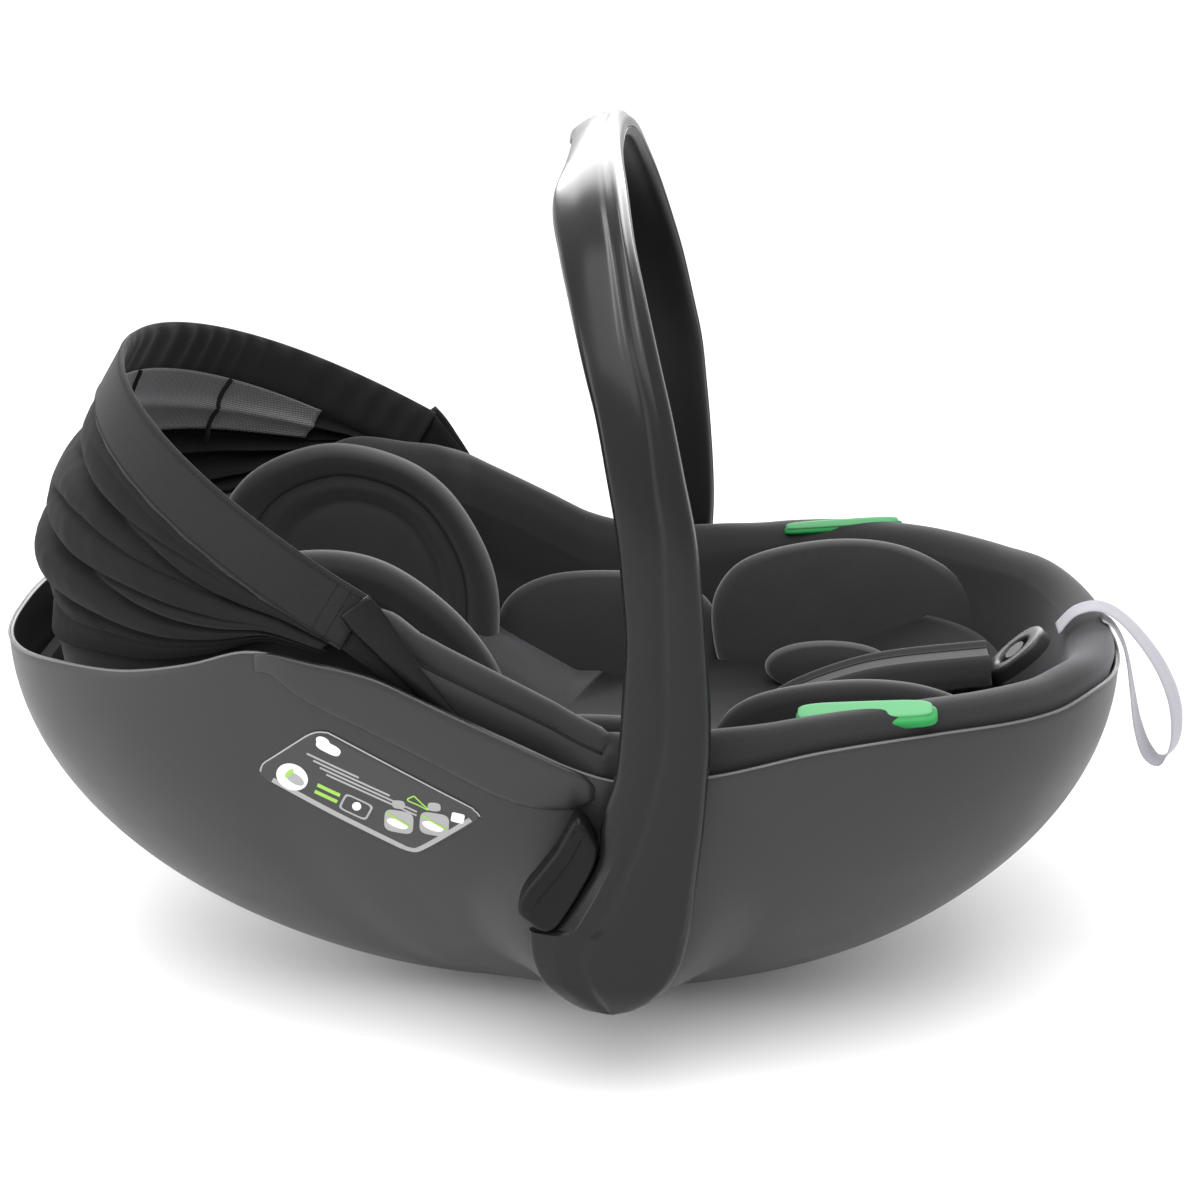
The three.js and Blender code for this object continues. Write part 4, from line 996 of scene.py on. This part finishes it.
def hood_point(t, v, inside=0.0, strength=1.0):
    """Bunched canopy cloth from the hem (v = 0) down to the rim (v = 1)."""
    t, v = np.broadcast_arrays(np.asarray(t, float), np.asarray(v, float))
    share = np.abs(t) / GATHER
    top = bow_point(t, -15.5, 0.2)
    back = angle_at(-150, 262)
    angle = np.where(t < 0, 2 * PI, 0) + np.sign(t) * lerp(PI, back, share**1.08)
    angle = np.where(t == 0, PI, angle)
    px, py = rim_point(angle, lerp(26.0, 13.0, share**2))
    low = np.stack([px, py, rim_top(angle) + 1.0], -1)
    out = np.stack([px / HEAD, py / SIDE, 0 * px], -1)
    out = out / np.maximum(1e-6, np.linalg.norm(out, axis=-1, keepdims=True))
    out = out * 0.97 + np.array([0, 0, 0.2])
    amount = curve(BELLY, v) * (1 + 0.12 * np.sin(2.4 * t + 5 * v))
    for height, near, far, depth, width, low_t, high_t in CREASES:
        centre = height + np.where(t < 0, near * -t, far * t) + 0.012 * np.sin(7 * t + 20 * height)
        fade = ramp(low_t - 14, low_t + 4, np.degrees(t)) * ramp(high_t + 14, high_t - 4, np.degrees(t))
        amount = amount - depth * fade * np.exp(-(np.abs(v - centre) / width)**1.25)
    damp = lerp(1.0, 0.42, share**1.6)
    soft_edge = np.minimum(1, 6 * v) * np.minimum(1, 6 * (1 - v))
    crush = (ripple(t * 5, v * 14 + t * 6, 21) * 3.4 + ripple(t * 15, v * 26 + t * 11, 8) * 1.1) * soft_edge
    rise = (amount * soft_edge**0.3) * damp * strength + crush * damp * strength - inside
    return lerp(top, low, v[..., None]) + out * rise[..., None]


def hood_mesh(name, t0, t1, v0, v1, rows, cols, material, inside, strength, thick, stands=()):
    t, v = lattice(t0, t1, rows, v0, v1, cols)
    shape = Shape().sheet(hood_point(t, v, inside, strength), hood_point(t, v, inside + thick, strength))
    stretch(make(name, shape, material, body=None, stands=stands))


def build_hem():
    t, a = lattice(-BOW_END, BOW_END, 200, -1, 1, 13)
    edge = 1 - np.abs(a)**8
    waves = 0.5 + 0.5 * np.sin(t * 64 + 2.2 * np.sin(t * 9))
    pucker = waves * 2.8 * ramp(-0.3, 0.5, t) * (1 - a**6) * (0.4 + 0.3 * (a + 1))
    across = a * HEM_HALF + np.sin(t * 41) * 0.3 * (a < -0.95)
    outer = bow_point(t, across, 1.0 + 1.3 * edge)
    inner = bow_point(t, across, -3.9 + 4.1 * np.abs(a)**5 + pucker)
    make("hem", Shape().sheet(outer, inner), "hem", body="canopy_front", stands=["canopy_hem"])
    for k, line in enumerate((-0.86, 0.86)):
        path = bow_point(np.linspace(-BOW_END, BOW_END, 240), line * HEM_HALF, 2.2)
        tube(f"hem_stitch_{k}", path, 0.28, "seam", body="canopy_front")
    for name, side in SIDES:
        for k, back in enumerate((7.0, 12.0)):
            angle = side * (BOW_END - math.radians(back * 0.45))
            path = bow_point(np.full(20, angle), np.linspace(-15.5, 15.5, 20), 2.25)
            tube(f"hem_tab_{name}_{k}", path, 0.35, "seam", body="canopy_front")
    t, a = lattice(-BOW_END, BOW_END, 120, -7, 7, 5)
    make("bow", Shape().sheet(bow_point(t, a, 0.7), bow_point(t, a, -0.8)), "black", body="canopy_front",
         stands=["canopy_bow"])


def build_hood():
    hood_mesh("hood", -GATHER, GATHER, 0, 1, 300, 120, "canopy", 0.0, 1.0, 1.0,
              stands=["canopy_front_panel", "canopy_mid_panel", "canopy_mid_rib", "canopy_rear_panel"])
    hood_mesh("mesh_window", math.radians(-30), math.radians(66), 0.0, 0.34, 120, 20, "net", 3.5, 0.3, 0.5)
    for k, at in enumerate((-12, 16, 44)):
        v = np.linspace(0.0, 0.42, 30)
        t = np.radians(at) + 0.35 * (v - 0.2)**2
        path = hood_point(t, v, 4.6, 0.3)
        stretch(tube(f"window_seam_{k}", path, 1.6, "canopy", body=None))


def build_canopy_sides():
    turn = math.atan2(BOW_FOOT[1] - 2 - CANOPY_Z, BOW_FOOT[0] + 5 - CANOPY_X)
    for name, side in SIDES:
        f = np.linspace(0, 1, 40)
        half = curve([(0, 8.0), (0.12, 6.0), (0.4, 5.5), (0.75, 9.5), (0.9, 11.0), (1, 10.5)], f)
        rings = []
        for u, w in ((-1, 0), (-0.8, 1), (0, 1), (0.8, 1), (1, 0), (0.8, -1), (0, -1), (-0.8, -1)):
            x = CANOPY_X + CANOPY_ARM * f * math.cos(turn) - u * half * math.sin(turn)
            z = CANOPY_Z + CANOPY_ARM * f * math.sin(turn) + u * half * math.cos(turn)
            rings.append(np.stack([x, np.full(40, side * (CANOPY_ARM_Y + 1.1 * w)), z], -1))
        make("canopy_arm_" + name, Shape().rings(np.array(rings).transpose(1, 0, 2)), "black",
             body="canopy_front",
             stands=["canopy_leg_" + name])
        corners = np.array([bow_point(side * BOW_END, -17.0, 0.0), bow_point(side * BOW_END, 17.0, 0.0),
                            [CANOPY_X - 3, 0, CANOPY_Z + 9], [CANOPY_X - 12, 0, CANOPY_Z + 12]])
        grid = []
        for u in np.linspace(0, 1, 12):
            left, right = lerp(corners[0], corners[3], u), lerp(corners[1], corners[2], u)
            line = np.array([lerp(left, right, w) for w in np.linspace(0, 1, 6)])
            line[:, 1] = side * lerp(190.6, 192.4, min(1, 4 * u))
            grid.append(line)
        grid = np.array(grid)
        make("canopy_gusset_" + name, Shape().sheet(grid, grid - np.array([0, side * 1.0, 0])), "canopy",
             body="canopy_front")
        soften("canopy_socket_" + name, "trim", 0.4)
        dress(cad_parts["pivot_axle_" + name], "steel")
        dress(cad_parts["pivot_ring_" + name], "trim")
    dress(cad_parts["foam_liner"], "foam")


build_shell()
build_guards()
build_label()
build_handle()
build_paddles()
build_cover()
build_insert()
build_pads()
build_harness()
build_channel()
build_bezel()
build_pull_strap()
build_guides()
build_rear_guide()
build_hem()
build_hood()
build_canopy_sides()


# ---------- stage ----------
def build_stage():
    floor_mesh = bpy.data.meshes.new("floor")
    floor_mesh.from_pydata([(-6, -6, 0), (6, -6, 0), (6, 6, 0), (-6, 6, 0)], [], [(0, 1, 2, 3)])
    floor = bpy.data.objects.new("floor", floor_mesh)
    floor.data.materials.append(plastic("floor_white", (0.95, 0.95, 0.95), 0.9, grain=0.0, wear=0.0,
                                        specular=0.0))
    bpy.context.scene.collection.objects.link(floor)
    world = bpy.data.worlds.new("studio")
    bpy.context.scene.world = world
    world.use_nodes = True
    back = world.node_tree.nodes["Background"]
    back.inputs["Color"].default_value = (1, 1, 1, 1)
    back.inputs["Strength"].default_value = 1.06
    for name, place, size, power, aim, lit in (
            ("gloss", (0.2, 1.75, 1.6), (3.0, 1.7), 175, (0, 0, 0.5), False),
            ("streak", (0.2, -0.35, 1.9), (0.2, 1.8), 19, (0.2, -0.35, 0), False),
            ("top", (-0.1, -1.1, 2.3), (3.0, 2.4), 75, (0, 0, 0.1), True),
            ("left", (-2.2, -1.0, 0.8), (1.0, 1.6), 26, (-0.2, 0, 0.15), True)):
        light = bpy.data.lights.new(name, "AREA")
        light.shape = "RECTANGLE"
        light.size, light.size_y = size
        light.energy = power
        thing = bpy.data.objects.new(name, light)
        thing.location = place
        thing.visible_diffuse = lit
        thing.rotation_mode = "QUATERNION"
        thing.rotation_quaternion = (Vector(aim) - Vector(place)).to_track_quat("-Z", "Y")
        bpy.context.scene.collection.objects.link(thing)
    camera = bpy.data.cameras.new("camera")
    camera.lens, camera.sensor_width = 86.36, 36
    camera.clip_start, camera.clip_end = 0.1, 50
    eye = bpy.data.objects.new("camera", camera)
    azimuth, elevation = math.radians(2.5), math.radians(19.5)
    away = Vector((math.sin(azimuth) * math.cos(elevation), -math.cos(azimuth) * math.cos(elevation),
                   math.sin(elevation)))
    eye.location = Vector((0, 0, 0.25)) + 1.8 * away
    eye.rotation_mode = "QUATERNION"
    eye.rotation_quaternion = (-away).to_track_quat("-Z", "Y")
    bpy.context.scene.collection.objects.link(eye)
    bpy.context.scene.camera = eye
    bpy.context.scene.view_settings.view_transform = "Standard"


build_stage()
